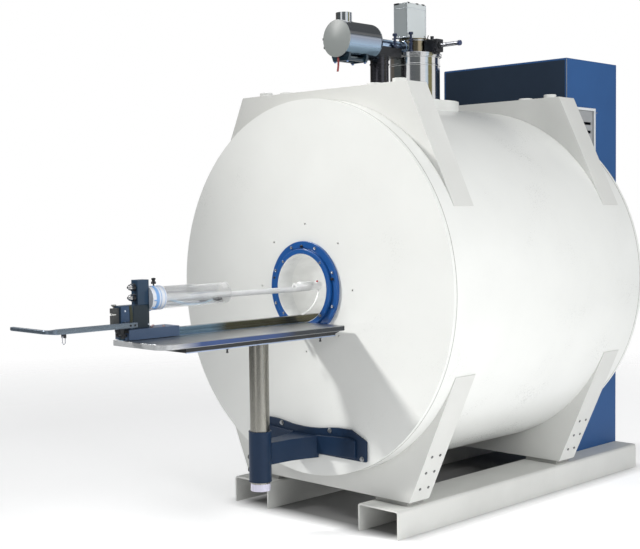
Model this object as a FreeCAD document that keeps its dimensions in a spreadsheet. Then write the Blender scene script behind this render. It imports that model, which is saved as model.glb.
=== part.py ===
"""Small-bore MRI scanner: magnet in its frames, service turret, rear cabinet and loading table.

Millimetres, +Z up, floor at z = 0, +Y into the bore from the loading side.  The origin is on the
floor under the middle of the whole machine.  Every size below is a cell of the sheet "Dims", and
every piece is bound to those cells by expressions.
"""
import FreeCAD, Part
import math
import os
import re

import Sketcher

DIMS = [
    # alias, value, what it is
    ("vessel_dia", 1650, "outer diameter of the magnet vessel"),
    ("vessel_length", 1440, "magnet vessel, front face to rear face"),
    ("end_plate", 18, "thickness of each end plate"),
    ("shell_wall", 8, "wall of the vessel's outer shell"),
    ("bore_dia", 300, "clear inside diameter of the bore"),
    ("bore_wall", 6, "wall of the bore tube"),
    ("front_reach", 1355, "front face to the foremost point of the handle"),
    # inside the vessel
    ("shield_gap", 32, "vacuum gap between vessel and thermal shield"),
    ("shield_wall", 3, "wall of the thermal shield"),
    ("shield_bore_gap", 14, "gap between bore tube and thermal shield"),
    ("helium_gap", 42, "gap between thermal shield and helium vessel"),
    ("helium_wall", 5, "wall of the helium vessel"),
    ("helium_bore_gap", 22, "gap between shield and helium vessel at the bore"),
    ("former_tube", 10, "wall of the coil former's tube"),
    ("coil_depth", 75, "radial depth of a main winding"),
    ("flange_web", 14, "thickness of a former flange"),
    ("coil_bays", 6, "main windings along the former"),
    ("outer_coil_clear", 60, "shielding windings inside the helium vessel's wall"),
    ("outer_coil_depth", 50, "radial depth of a shielding winding"),
    ("outer_coil_width", 150, "axial width of a shielding winding"),
    ("rod_dia", 16, "suspension rod"),
    ("rod_inset", 320, "suspension rods, from each end of the vessel"),
    ("gradient_length", 700, "gradient coil, along the bore"),
    ("gradient_wall", 30, "bore surface to the gradient coil's inside"),
    ("gradient_fit", 0.4, "radial gap between gradient coil and bore"),
    # rings round the bore
    ("ring_thick", 13, "flange thickness of a bore ring"),
    ("boss_rim", 23, "rim of the raised boss round the bore"),
    ("boss_reach", 26, "whole height of the front bore ring"),
    ("ring_bolt_out", 17, "ring bolts outside the boss"),
    ("ring_edge", 16, "ring's edge outside its bolts"),
    ("ring_bolts", 8, "bolts in each ring"),
    ("ring_bolt_dia", 8, "ring bolt shank"),
    ("face_hole_circle", 562, "tapped holes in the front plate"),
    ("face_holes", 8, "tapped holes in the front plate"),
    ("face_hole_dia", 8, "tapped hole bore"),
    ("tap_depth", 12, "depth of a tapped hole"),
    # frames that hold the vessel
    ("frame_setback", 98, "front face to the front frames"),
    ("frame_width", 130, "width of a frame along the bore"),
    ("rear_setback", 88, "rear face to the rear frames"),
    ("frame_plate", 8, "plate of the frames"),
    ("frame_proud", 3, "side plates stand off the vessel where they meet it"),
    ("frame_lap", 30, "frame outline inside the vessel, before it is trimmed"),
    ("upper_half", 506, "half width of an upper frame's top"),
    ("upper_rise", 47, "upper frame's top above the vessel"),
    ("foot_half", 505, "half width of a lower frame's foot"),
    ("foot_drop", 68, "lower frame's foot below the vessel"),
    ("side_screw_dia", 6, "side plate screw"),
    ("side_screw_first", 63, "lowest side screw from the foot"),
    ("side_screw_pitch", 80, "side screws, one row to the next"),
    ("side_screw_rows", 3, "rows of side screws"),
    ("side_screw_inset", 38, "side screws, from the frame's faces"),
    ("tall_cap_dia", 66, "tall lifting-point cap"),
    ("tall_cap_rise", 20, "height of a tall cap"),
    ("tall_cap_inset", 94, "tall caps, from the end of the frame's top"),
    ("flat_cap_dia", 74, "flat lifting-point cap"),
    ("flat_cap_rise", 11, "height of a flat cap"),
    ("flat_cap_inset", 236, "flat caps, from the end of the frame's top"),
    # skid rails and pads
    ("rail_proud", 5, "rail's outer side beyond the foot"),
    ("rail_width", 228, "width of a rail"),
    ("rail_rise", 122, "height of a rail"),
    ("rail_wall", 8, "plate of a rail"),
    ("rail_bend", 14, "outside radius of a rail's folds"),
    ("rail_front", 20, "front face to the rails' front ends"),
    ("pad_inset", 22, "pad edges inside the foot"),
    ("pad_thick", 20, "pad between foot and rail"),
    # cabinet behind the magnet
    ("cabinet_bearing", 106, "cabinet's sides beyond the rails' inner sides"),
    ("cabinet_depth", 475, "cabinet, front to back"),
    ("cabinet_rise", 2003, "cabinet above the rails"),
    ("cabinet_gap", 30, "magnet's rear face to the cabinet"),
    ("cabinet_sheet", 3, "sheet of the cabinet"),
    ("vent_back_inset", 206, "vent panel, from the cabinet's back"),
    ("vent_width", 210, "vent panel along the bore"),
    ("vent_height", 600, "vent panel, top to bottom"),
    ("vent_drop", 240, "vent panel's top below the cabinet's top"),
    ("vent_rim", 14, "rim of the vent panel"),
    ("vent_deep", 12, "depth of the vent panel's tray"),
    ("vent_slots", 12, "slots in the vent panel"),
    ("rack_post", 24, "uprights of the rack in the cabinet"),
    ("rack_first", 200, "lowest shelf above the rails"),
    ("rack_pitch", 440, "one shelf to the next"),
    ("rack_shelves", 4, "shelves in the rack"),
    ("rack_deep", 380, "depth of a shelf"),
    ("rack_shelf", 9, "thickness of a shelf"),
    # turret
    ("neck_at", 755, "front face to the turret's axis"),
    ("neck_dia", 240, "turret neck"),
    ("neck_wall", 3, "wall of the turret's tubes"),
    ("neck_boss_lip", 90, "boss round the neck"),
    ("neck_root", 20, "turret tubes below the vessel's top"),
    ("neck_boss_rise", 24, "boss above the vessel"),
    ("turret_rise", 255, "turret flange's top above the vessel"),
    ("turret_flange_lip", 9, "turret flange outside the neck"),
    ("turret_flange_thick", 15, "turret flange thickness"),
    ("cold_head_dia", 150, "cold head body"),
    ("cold_head_rise", 71, "cold head body above the flange"),
    ("stage_one_dia", 100, "first stage of the cold head"),
    ("stage_two_dia", 60, "second stage of the cold head"),
    ("stage_clear", 2, "gap between second stage and shield"),
    ("cover_x", 80, "cold head cover, side to side"),
    ("cover_y", 138, "cold head cover, along the bore"),
    ("cover_rise", 164, "cold head cover, height"),
    ("cover_back", 33, "cover's middle, forward of the turret's axis"),
    ("cover_sheet", 3, "sheet of the cold head cover"),
    ("motor_dia", 56, "cold head motor"),
    ("motor_rise", 120, "cold head motor height"),
    ("manifold_at", 216, "front face to the vent manifold"),
    ("manifold_dia", 164, "vent manifold"),
    ("manifold_length", 235, "vent manifold, along the bore"),
    ("manifold_rise", 283, "manifold axis above the vessel"),
    ("manifold_wall", 3, "wall of the vent manifold"),
    ("manifold_round", 38, "rounding of the manifold's rear edge"),
    ("cap_dish", 300, "radius of the manifold cap's dish"),
    ("cap_thick", 16, "manifold cap at its middle"),
    ("stub_at", 46, "vent stub, behind the manifold's front"),
    ("stub_dia", 73, "vent stub"),
    ("stub_rise", 36, "vent stub above the manifold"),
    ("stub_collar", 3, "weld collar at the foot of the vent stub"),
    ("link_dia", 48, "vent link between manifold and turret"),
    ("pipe_at", 500, "front face to the service pipe"),
    ("pipe_dia", 86, "service pipe"),
    ("pipe_pad_dia", 130, "pad under the service pipe"),
    ("pipe_pad_rise", 16, "pad above the vessel"),
    ("block_front", 458, "front face to the valve block"),
    ("block_x", 92, "valve block, side to side"),
    ("block_rise", 40, "valve block, height"),
    ("cradle_x", 90, "manifold cradle, side to side"),
    ("cradle_y", 130, "manifold cradle, along the bore"),
    ("cradle_deep", 34, "manifold cradle, height"),
    ("cradle_back", 20, "manifold's front to its cradle"),
    ("valve_x", 78, "relief valve body, side to side"),
    ("valve_y", 50, "relief valve body, along the bore"),
    ("valve_z", 60, "relief valve body, height"),
    ("turret_clear", 0.5, "gap between blocks and the round bodies beside them"),
    ("valve_from_axis", 78, "relief valve body, from the turret's axis"),
    ("stem_dia", 17, "relief valve stem"),
    ("stem_length", 122, "relief valve stem outside its body"),
    ("stem_knob_dia", 25, "knob on the valve stem"),
    ("stem_socket", 30, "stem inside the valve body"),
    ("fitting_dia", 14, "small gas fittings on the turret"),
    ("fitting_cap", 10, "cap of a gas fitting"),
    ("fitting_inset", 9, "fittings, from the valve block's side"),
    ("fitting_side", 12, "tall fitting, beside the valve block"),
    ("left_fitting_at", 70, "left fitting, behind the valve block's front"),
    ("left_fitting_rise", 62, "left fitting"),
    ("right_fitting_at", 110, "right fitting, behind the valve block's front"),
    ("right_fitting_rise", 54, "right fitting"),
    ("tall_fitting_at", 96, "tall fitting, ahead of the turret's axis"),
    ("tall_fitting_rise", 84, "tall fitting"),
    ("ribbon_long", 66, "hanging ribbon"),
    ("ribbon_wide", 11, "width of the ribbon"),
    ("ribbon_thick", 1.2, "thickness of the ribbon"),
    ("ribbon_back", 4, "manifold's front to the ribbon"),
    # bracket and sleeve under the table
    ("wing_half", 360, "half width of the bracket's face plate"),
    ("wing_thick", 12, "bracket face plate"),
    ("wing_low", 724, "bracket's lower edge below the bore axis"),
    ("wing_high", 595, "bracket's upper edge below the bore axis"),
    ("wing_end_high", 635, "upper edge at the wing tips, below the bore axis"),
    ("wing_shoulder", 270, "half distance between the outer shoulders"),
    ("wing_notch", 180, "half distance between the inner shoulders"),
    ("wing_dip", 17, "dip of the upper edge at the middle"),
    ("wing_box_half", 120, "half width of the stiffening box"),
    ("wing_box_deep", 50, "stiffening box in front of the plate"),
    ("wing_box_drop", 8, "stiffening box below the plate's edge"),
    ("arm_half", 35, "half width of the bracket arm"),
    ("arm_high", 645, "arm's top below the bore axis"),
    ("arm_low", 741, "arm's underside below the bore axis"),
    ("bracket_bolt_dia", 10, "bracket bolt shank"),
    ("bracket_bolt_at", 150, "upper bracket bolts, from the middle"),
    ("bracket_bolt_drop", 17, "upper bracket bolts below the shoulders"),
    ("wing_bolt_inset", 22, "lower bracket bolts, from the wing tips"),
    ("wing_bolt_rise", 12, "lower bracket bolts above the lower edge"),
    ("column_at", 284, "front face to the table column's axis"),
    ("column_dia", 84, "table column"),
    ("column_wall", 5, "wall of the table column"),
    ("sleeve_wall", 6, "wall of the sleeve round the column"),
    ("sleeve_top", 594, "sleeve's top below the bore axis"),
    ("sleeve_low", 809, "sleeve's end below the bore axis"),
    ("column_low", 848, "column's end below the bore axis"),
    ("slide_fit", 0.08, "radial clearance of sliding and turning fits"),
    ("clamp_dia", 10, "sleeve clamp screw"),
    ("clamp_knob_dia", 22, "knob of a sleeve clamp screw"),
    ("clamp_knob_long", 12, "length of that knob"),
    ("clamp_knob_gap", 10, "sleeve to that knob"),
    ("clamp_boss", 8, "clamp boss outside the sleeve"),
    ("clamp_slack", 2, "column to a slackened clamp screw's tip"),
    ("upper_clamp_rise", 95, "upper clamp screw above the sleeve's end"),
    ("lower_clamp_rise", 40, "lower clamp screw above the sleeve's end"),
    # loading table
    ("guide_clear", 2, "table top above the bore's lowest line"),
    ("table_left", -42, "left edge of the table"),
    ("table_right", 262, "right edge of the table"),
    ("table_front", 1000, "front face to the table's far end"),
    ("table_gap", 30, "front face to the table's near end"),
    ("table_thick", 22, "table plate"),
    ("table_corner", 60, "rounding of the table's outer corner"),
    ("beam_deep", 18, "under-frame of the table"),
    ("beam_inset", 12, "under-frame inside the plate's edge"),
    ("beam_wall", 10, "walls of the under-frame"),
    ("beam_front", 880, "front face to the under-frame's far end"),
    ("beam_gap", 75, "front face to the under-frame's near end"),
    ("head_dia", 140, "flange of the under-frame round the column"),
    ("head_thick", 12, "thickness of that flange"),
    ("guide_width", 30, "guide rail"),
    ("guide_rise", 31, "guide rail height"),
    ("guide_reach", 76, "guide rail inside the bore"),
    ("guide_inset", 8, "table's far end to the guide rail"),
    ("groove_deep", 4, "grooves in the guide rail's sides"),
    ("groove_low", 11, "grooves above the table"),
    ("groove_high", 8, "height of a groove"),
    # carriage
    ("glide_gap", 0.3, "gap between carriage and guide rail"),
    ("sled_half", 45, "half width of the carriage sled"),
    ("sled_back", 987, "front face to the sled's outer end"),
    ("sled_front", 745, "front face to the sled's inner end"),
    ("sled_top", 106, "sled's top below the bore axis"),
    ("sled_lift", 2, "sled's skirts above the table"),
    ("lower_block_long", 135, "lower block along the bore"),
    ("upper_block_long", 54, "upper block along the bore"),
    ("block_split", 15, "top of the lower block below the bore axis"),
    ("block_top", 80, "top of the upper block above the bore axis"),
    ("block_face", 872, "front face to the blocks' inner faces"),
    ("block_half", 20, "half width of the blocks"),
    ("cap_wall", 3, "end cap round the clear tube"),
    ("cap_long", 68, "end cap length"),
    ("cap_base", 14, "solid part of the end cap"),
    ("tube_dia", 88, "clear tube"),
    ("tube_wall", 3, "wall of the clear tube"),
    ("tube_end", 471, "front face to the clear tube's open end"),
    ("bed_rise", 6, "bed axis above the bore axis"),
    ("bed_dia", 40, "bed trough"),
    ("bed_wall", 3, "wall of the bed trough"),
    ("bed_lip", 2, "trough's edges above its axis"),
    ("bed_reach", 20, "bed trough inside the bore"),
    ("holder_fit", 0.5, "radial gap between holder and trough"),
    ("holder_reach", 88, "tip of the head holder inside the bore"),
    ("holder_back", 90, "head holder's overlap on the bed"),
    ("prop_wide", 6, "width of the prop under the bed's tip"),
    ("prop_thick", 3, "thickness of the prop"),
    ("prop_centre_rise", 24, "centre of the prop's bend above the holder's underside"),
    ("prop_turn", 78, "direction of the prop's foot from its bend's centre, degrees"),
    ("prop_inset", 2, "prop short of the holder's tip"),
    ("shoe_long", 14, "shoe under the prop"),
    ("bar_gap", 26, "gap between the blocks and the handle bar"),
    ("bar_wide", 20, "width of the handle bar"),
    ("bar_thick", 12, "thickness of the handle bar"),
    ("bar_low", 91, "handle bar's axis below the bore axis"),
    ("bar_back", 962, "front face to the inner end of the bar"),
    ("grip_dia", 18, "round grip"),
    ("grip_long", 262, "length of the grip"),
    ("loop_at", 1284, "front face to the pull loop"),
    ("loop_high", 36, "pull loop, top to bottom"),
    ("loop_wide", 16, "pull loop, side to side"),
    ("loop_wire", 4, "pull loop section"),
    ("loop_pin_drop", 8, "pull loop's pin below the bar"),
    ("ear_thick", 3, "ears that hold the pin"),
    ("ear_long", 10, "ears along the bar"),
    ("ear_drop", 13, "ears below the bar"),
    ("anchor_inset", 5, "bar's inner end to its anchor"),
    ("anchor_long", 35, "anchor between the bar and the lower block"),
    ("stage_knob_dia", 22, "stage knobs"),
    ("stage_knob_long", 18, "stage knob head"),
    ("stage_shaft_dia", 8, "stage knob shaft"),
    ("stage_boss_dia", 26, "boss behind a stage knob"),
    ("stage_boss_long", 14, "length of that boss"),
    ("stage_socket", 24, "depth of the knob's hole in the block"),
    ("upper_stage_at", 52, "upper stage knob above the bore axis"),
    ("lower_stage_at", 12, "lower stage knob above the bore axis"),
    ("clamp_block_long", 28, "split clamp along the bore"),
    ("clamp_block_x", 36, "split clamp, side to side"),
    ("clamp_slot", 8, "slot of the split clamp"),
    ("clamp_web", 12, "solid part behind that slot"),
    ("clamp_lift", 14, "split clamp above the sled"),
    ("clamp_drop", 8, "split clamp's top below the lower block's"),
    ("clamp_jaw", 0.6, "slot's height in the clamp, as a share"),
    ("thumb_dia", 20, "head of the thumbscrew"),
    ("thumb_shaft_dia", 6, "shaft of the thumbscrew"),
    ("thumb_long", 6, "thickness of that head"),
    ("thumb_lift", 8, "head above the clamp"),
    ("thumb_at", 11, "thumbscrew, from the clamp's outer end"),
    ("tube_screw_at", 38, "tube clamp screw, from the blocks"),
    ("tube_screw_lift", 10, "its head above the tube"),
    ("tube_screw_head", 24, "length of its head"),
    ("lock_knob_dia", 24, "carriage lock knob"),
    ("lock_shaft_dia", 8, "carriage lock shaft"),
    ("lock_inset", 18, "lock shaft, from the sled's side and underside"),
    ("lock_deep", 30, "lock shaft inside the sled"),
    ("lock_proud", 10, "sled's end to the lock knob"),
]

# Places worked out from the cells above.
DERIVED = {
    "rear_reach": "vessel_length + cabinet_gap + cabinet_depth",
    "face": "(front_reach - rear_reach) / 2",
    "bore_height": "rail_rise + pad_thick + foot_drop + vessel_dia / 2",
    "shield_bore_dia": "bore_dia + 2 * bore_wall + 2 * shield_bore_gap",
    "helium_bore_dia": "shield_bore_dia + 2 * shield_wall + 2 * helium_bore_gap",
    "gradient_dia": "bore_dia - 2 * gradient_wall",
    "boss_dia": "bore_dia + 2 * boss_rim",
    "ring_bolt_circle": "boss_dia + 2 * ring_bolt_out",
    "ring_dia": "ring_bolt_circle + 2 * ring_edge",
    "outer_coil_dia": "2 * (helium_half - helium_wall - outer_coil_clear - outer_coil_depth)",
    "tall_cap_x": "upper_half - tall_cap_inset",
    "flat_cap_x": "upper_half - flat_cap_inset",
    "neck_boss_dia": "neck_dia + 2 * neck_boss_lip",
    "turret_flange_dia": "neck_dia + 2 * turret_flange_lip",
    "sleeve_dia": "column_dia + 2 * sleeve_wall",
    "table_top_at": "bore_dia / 2 - guide_clear",
    "cap_dia": "tube_dia + 2 * cap_wall",
    "holder_dia": "bed_dia - 2 * bed_wall - 2 * holder_fit",
    "bar_x": "block_half + bar_gap + bar_wide / 2",
    "vessel_half": "vessel_dia / 2",
    "vessel_top": "bore_height + vessel_half",
    "bore_outer": "bore_dia / 2 + bore_wall",
    "shield_half": "vessel_half - shell_wall - shield_gap",
    "shield_length": "vessel_length - 2 * end_plate - 2 * shield_gap",
    "helium_half": "shield_half - shield_wall - helium_gap",
    "helium_length": "shield_length - 2 * shield_wall - 2 * helium_gap",
    "helium_from": "face + end_plate + shield_gap + shield_wall + helium_gap",
    "former_length": "helium_length - 2 * helium_wall",
    "former_from": "helium_from + helium_wall",
    "former_inner": "helium_bore_dia / 2 + helium_wall",
    "former_outer": "former_inner + former_tube",
    "bay_width": "(former_length - (coil_bays + 1) * flange_web) / coil_bays",
    "upper_reach": "vessel_half + upper_rise",
    "foot_reach": "vessel_half + foot_drop",
    "rail_outer": "foot_half + rail_proud",
    "rail_inner": "rail_outer - rail_width",
    "rail_length": "rear_reach - rail_front",
    "foot_base": "bore_height - foot_reach",
    "cabinet_width": "2 * (rail_inner + cabinet_bearing)",
    "cabinet_from": "face + rear_reach - cabinet_depth",
    "cabinet_top": "rail_rise + cabinet_rise",
    "vent_front": "face + rear_reach - vent_back_inset - vent_width",
    "vent_low": "cabinet_top - vent_drop - vent_height",
    "turret_top": "vessel_top + turret_rise",
    "cover_low": "turret_top + cold_head_rise",
    "manifold_z": "vessel_top + manifold_rise",
    "manifold_low": "manifold_z - manifold_dia / 2",
    "block_low": "manifold_z - link_dia / 2 - block_rise",
    "stem_z": "turret_top + valve_z / 2",
    "column_y": "face - column_at",
    "table_z": "bore_height - table_top_at",
    "table_low": "table_z - table_thick",
    "beam_low": "table_low - beam_deep",
    "guide_top": "table_z + guide_rise",
    "bed_z": "bore_height + bed_rise",
    "block_z": "bore_height - block_split",
    "sled_z": "bore_height - sled_top",
    "bar_z": "bore_height - bar_low",
    "block_y": "face - block_face",
    "loop_pin_z": "bar_z - bar_thick / 2 - loop_pin_drop",
}

ALIASES = {name for name, value, note in DIMS}
WORD = re.compile(r"[A-Za-z_][A-Za-z_0-9]*")

doc = FreeCAD.newDocument("mri_scanner")
sheet = doc.addObject("Spreadsheet::Sheet", "Dims")
for row, (name, value, note) in enumerate(DIMS, start=1):
    sheet.set("A%d" % row, name)
    sheet.set("B%d" % row, str(value))
    sheet.set("C%d" % row, note)
    sheet.setAlias("B%d" % row, name)
doc.recompute()

NODES = []          # the sub-parts that are written out
HELPER_COUNT = {}   # how often each helper name was used


def expand(text):
    """Turn the short names of an expression into cells of the sheet."""
    def swap(match):
        word = match.group(0)
        if word in DERIVED:
            return "(" + expand(DERIVED[word]) + ")"
        return "Dims." + word if word in ALIASES else word
    return WORD.sub(swap, str(text))


def size(text):
    """The number that an expression has now, for the few shapes set by code."""
    return float(sheet.evalExpression(expand(text)))


def bind(obj, **expressions):
    """Bind an object's properties to expressions."""
    for prop, text in expressions.items():
        obj.setExpression(prop, expand(text))
    return obj


def put(obj, at, turn_axis=(0, 0, 1), turn=0):
    """Place an object at three expressions, after a turn about an axis."""
    rotation = FreeCAD.Rotation(FreeCAD.Vector(*turn_axis), turn)
    obj.Placement = FreeCAD.Placement(FreeCAD.Vector(0, 0, 0), rotation)
    for axis, text in zip("xyz", at):
        obj.setExpression("Placement.Base." + axis, expand(text))
    return obj


def fresh(kind, name):
    """A new document object with a numbered helper name."""
    HELPER_COUNT[name] = HELPER_COUNT.get(name, 0) + 1
    return doc.addObject(kind, "%s_%d" % (name, HELPER_COUNT[name]))


def node(obj, label):
    """Mark an object as a finished sub-part."""
    obj.Label = label
    NODES.append(obj)
    return obj


def box(low, span, name="block"):
    """A box from its low corner and its three sizes."""
    made = bind(fresh("Part::Box", name), Length=span[0], Width=span[1], Height=span[2])
    return put(made, low)


TURNS = {"z": ((0, 0, 1), 0), "y": ((1, 0, 0), -90), "x": ((0, 1, 0), 90),
         "-z": ((1, 0, 0), 180), "-y": ((1, 0, 0), 90), "-x": ((0, 1, 0), -90)}


def rod(start, radius, length, axis="y", name="round"):
    """A solid cylinder from the centre of its first face along an axis."""
    made = bind(fresh("Part::Cylinder", name), Radius=radius, Height=length)
    return put(made, start, *TURNS[axis])


def tube(start, outer, inner, length, axis="y", name="ring"):
    """A hollow cylinder."""
    return cut(rod(start, outer, length, axis), [rod(start, inner, length, axis)], name)


def fuse(parts, name="joined"):
    made = fresh("Part::MultiFuse", name)
    made.Shapes = parts
    made.Refine = True
    return made


def cut(base, tools, name="trimmed"):
    made = fresh("Part::Cut", name)
    made.Base = base
    made.Tool = tools[0] if len(tools) == 1 else fuse(tools, "tools")
    return made


def common(parts, name="shared"):
    made = fresh("Part::MultiCommon", name)
    made.Shapes = parts
    return made


def group(parts, name="set"):
    made = fresh("Part::Compound", name)
    made.Links = parts
    return made


def plane_of(body, role):
    return next(item for item in body.Origin.OriginFeatures if item.Role == role)


def outline(body, role, corners, name):
    """A closed sketch whose corners are bound to expressions."""
    sketch = body.newObject("Sketcher::SketchObject", name)
    sketch.AttachmentSupport = [(plane_of(body, role), "")]
    sketch.MapMode = "FlatFace"
    count = len(corners)
    first = [FreeCAD.Vector(100 * math.cos(2 * math.pi * index / count),
                            100 * math.sin(2 * math.pi * index / count), 0)
             for index in range(count)]
    for index in range(count):
        sketch.addGeometry(Part.LineSegment(first[index], first[(index + 1) % count]), False)
    for index in range(count):
        sketch.addConstraint(Sketcher.Constraint("Coincident", index, 2, (index + 1) % count, 1))
    for index, corner in enumerate(corners):
        for kind, text, start in (("DistanceX", corner[0], first[index].x),
                                  ("DistanceY", corner[1], first[index].y)):
            place = sketch.addConstraint(Sketcher.Constraint(kind, index, 1, start))
            sketch.setExpression("Constraints[%d]" % place, expand(text))
    return sketch


def profile(name, corners, start, length):
    """A body padded along +Y from an outline in X and Z."""
    body = fresh("PartDesign::Body", name)
    sketch = outline(body, "XZ_Plane", corners, name + "_outline")
    pad = body.newObject("PartDesign::Pad", name + "_pad")
    pad.Profile = sketch
    pad.Reversed = True
    pad.setExpression("Length", expand(length))
    sketch.Visibility = False
    body.setExpression("Placement.Base.y", expand(start))
    doc.recompute()
    return body


def round_edges(body, radius, wanted, name):
    """Fillet the edges of a body's tip whose middle and direction pass a test."""
    base = body.Tip
    names = []
    for index, edge in enumerate(base.Shape.Edges, start=1):
        middle = edge.valueAt((edge.FirstParameter + edge.LastParameter) / 2)
        if wanted(middle, edge):
            names.append("Edge%d" % index)
    fillet = body.newObject("PartDesign::Fillet", name)
    fillet.Base = (base, names)
    fillet.setExpression("Radius", expand(radius))
    doc.recompute()
    return body


def along_y(edge):
    """True for a straight edge that runs along Y."""
    if edge.Curve.TypeId != "Part::GeomLine":
        return False
    return abs(edge.tangentAt(edge.FirstParameter).y) > 0.99


def polar(radius, angle):
    """X and Z of a point on a circle round the bore axis."""
    return ("(%s) * cos(%s)" % (radius, angle), "bore_height + (%s) * sin(%s)" % (radius, angle))


def screw(at, axis, shank, length, head, rise):
    """A screw's shank, to cut its hole with, and the whole screw.

    The axis points out of the head; the shank goes the other way from the seat."""
    inward = axis[1:] if axis.startswith("-") else "-" + axis
    stem = rod(at, shank, length, inward, "shank")
    return stem, fuse([stem, rod(at, head, rise, axis, "head")], "screw")


# ---------------------------------------------------------------- magnet vessel

def tapped_circle(circle, count, radius, y, axis, depth):
    """Short cylinders round the bore axis, one for each hole."""
    made = []
    for index in range(int(size(count))):
        x, z = polar("%s / 2" % circle, "%d * 360 / %s" % (index, count))
        made.append(rod((x, y, z), radius, depth, axis, "tap"))
    return made


def ring_screws(y, axis):
    """Shanks and screws of one bore ring."""
    stems, screws = [], []
    for index in range(int(size("ring_bolts"))):
        angle = "(%d + 0.5) * 360 / ring_bolts" % index
        x, z = polar("ring_bolt_circle / 2", angle)
        stem, made = screw((x, y, z), axis, "ring_bolt_dia / 2", "ring_thick + tap_depth",
                           "ring_bolt_dia * 0.8", "ring_bolt_dia * 0.6")
        stems.append(stem)
        screws.append(made)
    return stems, screws


def bracket_screws():
    """Shanks and screws of the table bracket."""
    places = []
    for side in (-1, 1):
        places.append(("%d * bracket_bolt_at" % side, "wing_high + bracket_bolt_drop"))
        places.append(("%d * (wing_half - wing_bolt_inset)" % side, "wing_low - wing_bolt_rise"))
    stems, screws = [], []
    for x, drop in places:
        at = (x, "face - wing_thick", "bore_height - (%s)" % drop)
        stem, made = screw(at, "-y", "bracket_bolt_dia / 2", "wing_thick + tap_depth",
                           "bracket_bolt_dia * 0.85", "bracket_bolt_dia * 0.65")
        stems.append(stem)
        screws.append(made)
    return stems, screws


front_stems, front_screws = ring_screws("face - ring_thick", "-y")
rear_stems, rear_screws = ring_screws("face + vessel_length + ring_thick", "y")
bracket_stems, bracket_bolts = bracket_screws()


def vessel_shell():
    start = ("0", "face + end_plate", "bore_height")
    length = "vessel_length - 2 * end_plate"
    neck = ("0", "face + neck_at", "bore_height")
    pipe = ("0", "face + pipe_at", "bore_height")
    boss = rod(neck, "neck_boss_dia / 2", "vessel_half + neck_boss_rise", "z")
    pad = rod(pipe, "pipe_pad_dia / 2", "vessel_half + pipe_pad_rise", "z")
    outside = fuse([rod(start, "vessel_half", length), boss, pad])
    holes = [rod(start, "vessel_half - shell_wall", length),
             rod(neck, "neck_dia / 2", "vessel_half * 1.5", "z"),
             rod(pipe, "pipe_dia / 2", "vessel_half * 1.5", "z")]
    node(cut(outside, holes, "vessel_shell"), "vessel_shell")


def end_plate(label, y, tools):
    plate = rod(("0", y, "bore_height"), "vessel_half", "end_plate")
    hole = rod(("0", y, "bore_height"), "bore_outer", "end_plate")
    node(cut(plate, [hole] + tools, label), label)


def bore_ring(label, y, axis, boss_reach, stems):
    start = ("0", y, "bore_height")
    flange = rod(start, "ring_dia / 2", "ring_thick", axis)
    boss = rod(start, "boss_dia / 2", boss_reach, axis)
    hole = rod(start, "bore_dia / 2", boss_reach, axis)
    node(cut(fuse([flange, boss]), [hole] + stems, label), label)


vessel_shell()
face_taps = tapped_circle("face_hole_circle", "face_holes", "face_hole_dia / 2", "face", "y",
                          "tap_depth")
end_plate("front_end_plate", "face", face_taps + front_stems + bracket_stems)
end_plate("rear_end_plate", "face + vessel_length - end_plate", rear_stems)
node(tube(("0", "face", "bore_height"), "bore_outer", "bore_dia / 2", "vessel_length"),
     "bore_tube")
bore_ring("front_bore_ring", "face", "-y", "boss_reach", front_stems)
bore_ring("rear_bore_ring", "face + vessel_length", "y", "ring_thick", rear_stems)
node(group(front_screws + rear_screws, "ring_bolts"), "ring_bolts")


# ---------------------------------------------------------------- inside the vessel

def can(label, y, outer, inner, length, wall, holes):
    """A closed ring-shaped can round the bore."""
    inside = tube(("0", "%s + %s" % (y, wall), "bore_height"), "%s - %s" % (outer, wall),
                  "%s + %s" % (inner, wall), "%s - 2 * %s" % (length, wall))
    outside = tube(("0", y, "bore_height"), outer, inner, length)
    node(cut(outside, [inside] + holes, label), label)


def radial_rods(radius, start, length):
    """Eight radial cylinders at the suspension points."""
    made = []
    for y in ("face + rod_inset", "face + vessel_length - rod_inset"):
        for quarter in range(4):
            angle = 45 + 90 * quarter
            x, z = polar(start, str(angle))
            piece = bind(fresh("Part::Cylinder", "strut"), Radius=radius, Height=length)
            made.append(put(piece, (x, y, z), (0, 1, 0), 90 - angle))
    return made


stage_hole = rod(("0", "face + neck_at", "bore_height"), "stage_two_dia / 2 + stage_clear",
                 "vessel_half", "z")
rod_holes = radial_rods("rod_dia / 2 + glide_gap", "helium_half", "vessel_half - helium_half")
can("thermal_shield", "face + end_plate + shield_gap", "shield_half", "shield_bore_dia / 2",
    "shield_length", "shield_wall", rod_holes + [stage_hole])
can("helium_vessel", "helium_from", "helium_half", "helium_bore_dia / 2", "helium_length",
    "helium_wall", [])
node(group(radial_rods("rod_dia / 2", "helium_half", "vessel_half - shell_wall - helium_half")),
     "suspension_rods")


def coil_former():
    """A spool for the main windings, with two discs that carry the outer spool."""
    parts = [rod(("0", "former_from", "bore_height"), "former_outer", "former_length")]
    for index in range(int(size("coil_bays")) + 1):
        at = "former_from + %d * (flange_web + bay_width)" % index
        reach = "former_outer + coil_depth"
        if index in (0, int(size("coil_bays"))):
            reach = "outer_coil_dia / 2 + outer_coil_depth"
        parts.append(rod(("0", at, "bore_height"), reach, "flange_web"))
    spool = ("0", "former_from", "bore_height")
    parts.append(tube(spool, "outer_coil_dia / 2", "outer_coil_dia / 2 - former_tube",
                      "former_length"))
    for at in ("former_from + flange_web + outer_coil_width",
               "former_from + former_length - 2 * flange_web - outer_coil_width"):
        parts.append(tube(("0", at, "bore_height"), "outer_coil_dia / 2 + outer_coil_depth",
                          "outer_coil_dia / 2", "flange_web"))
    hole = rod(spool, "former_inner", "former_length")
    node(cut(fuse(parts), [hole], "coil_former"), "coil_former")


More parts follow.
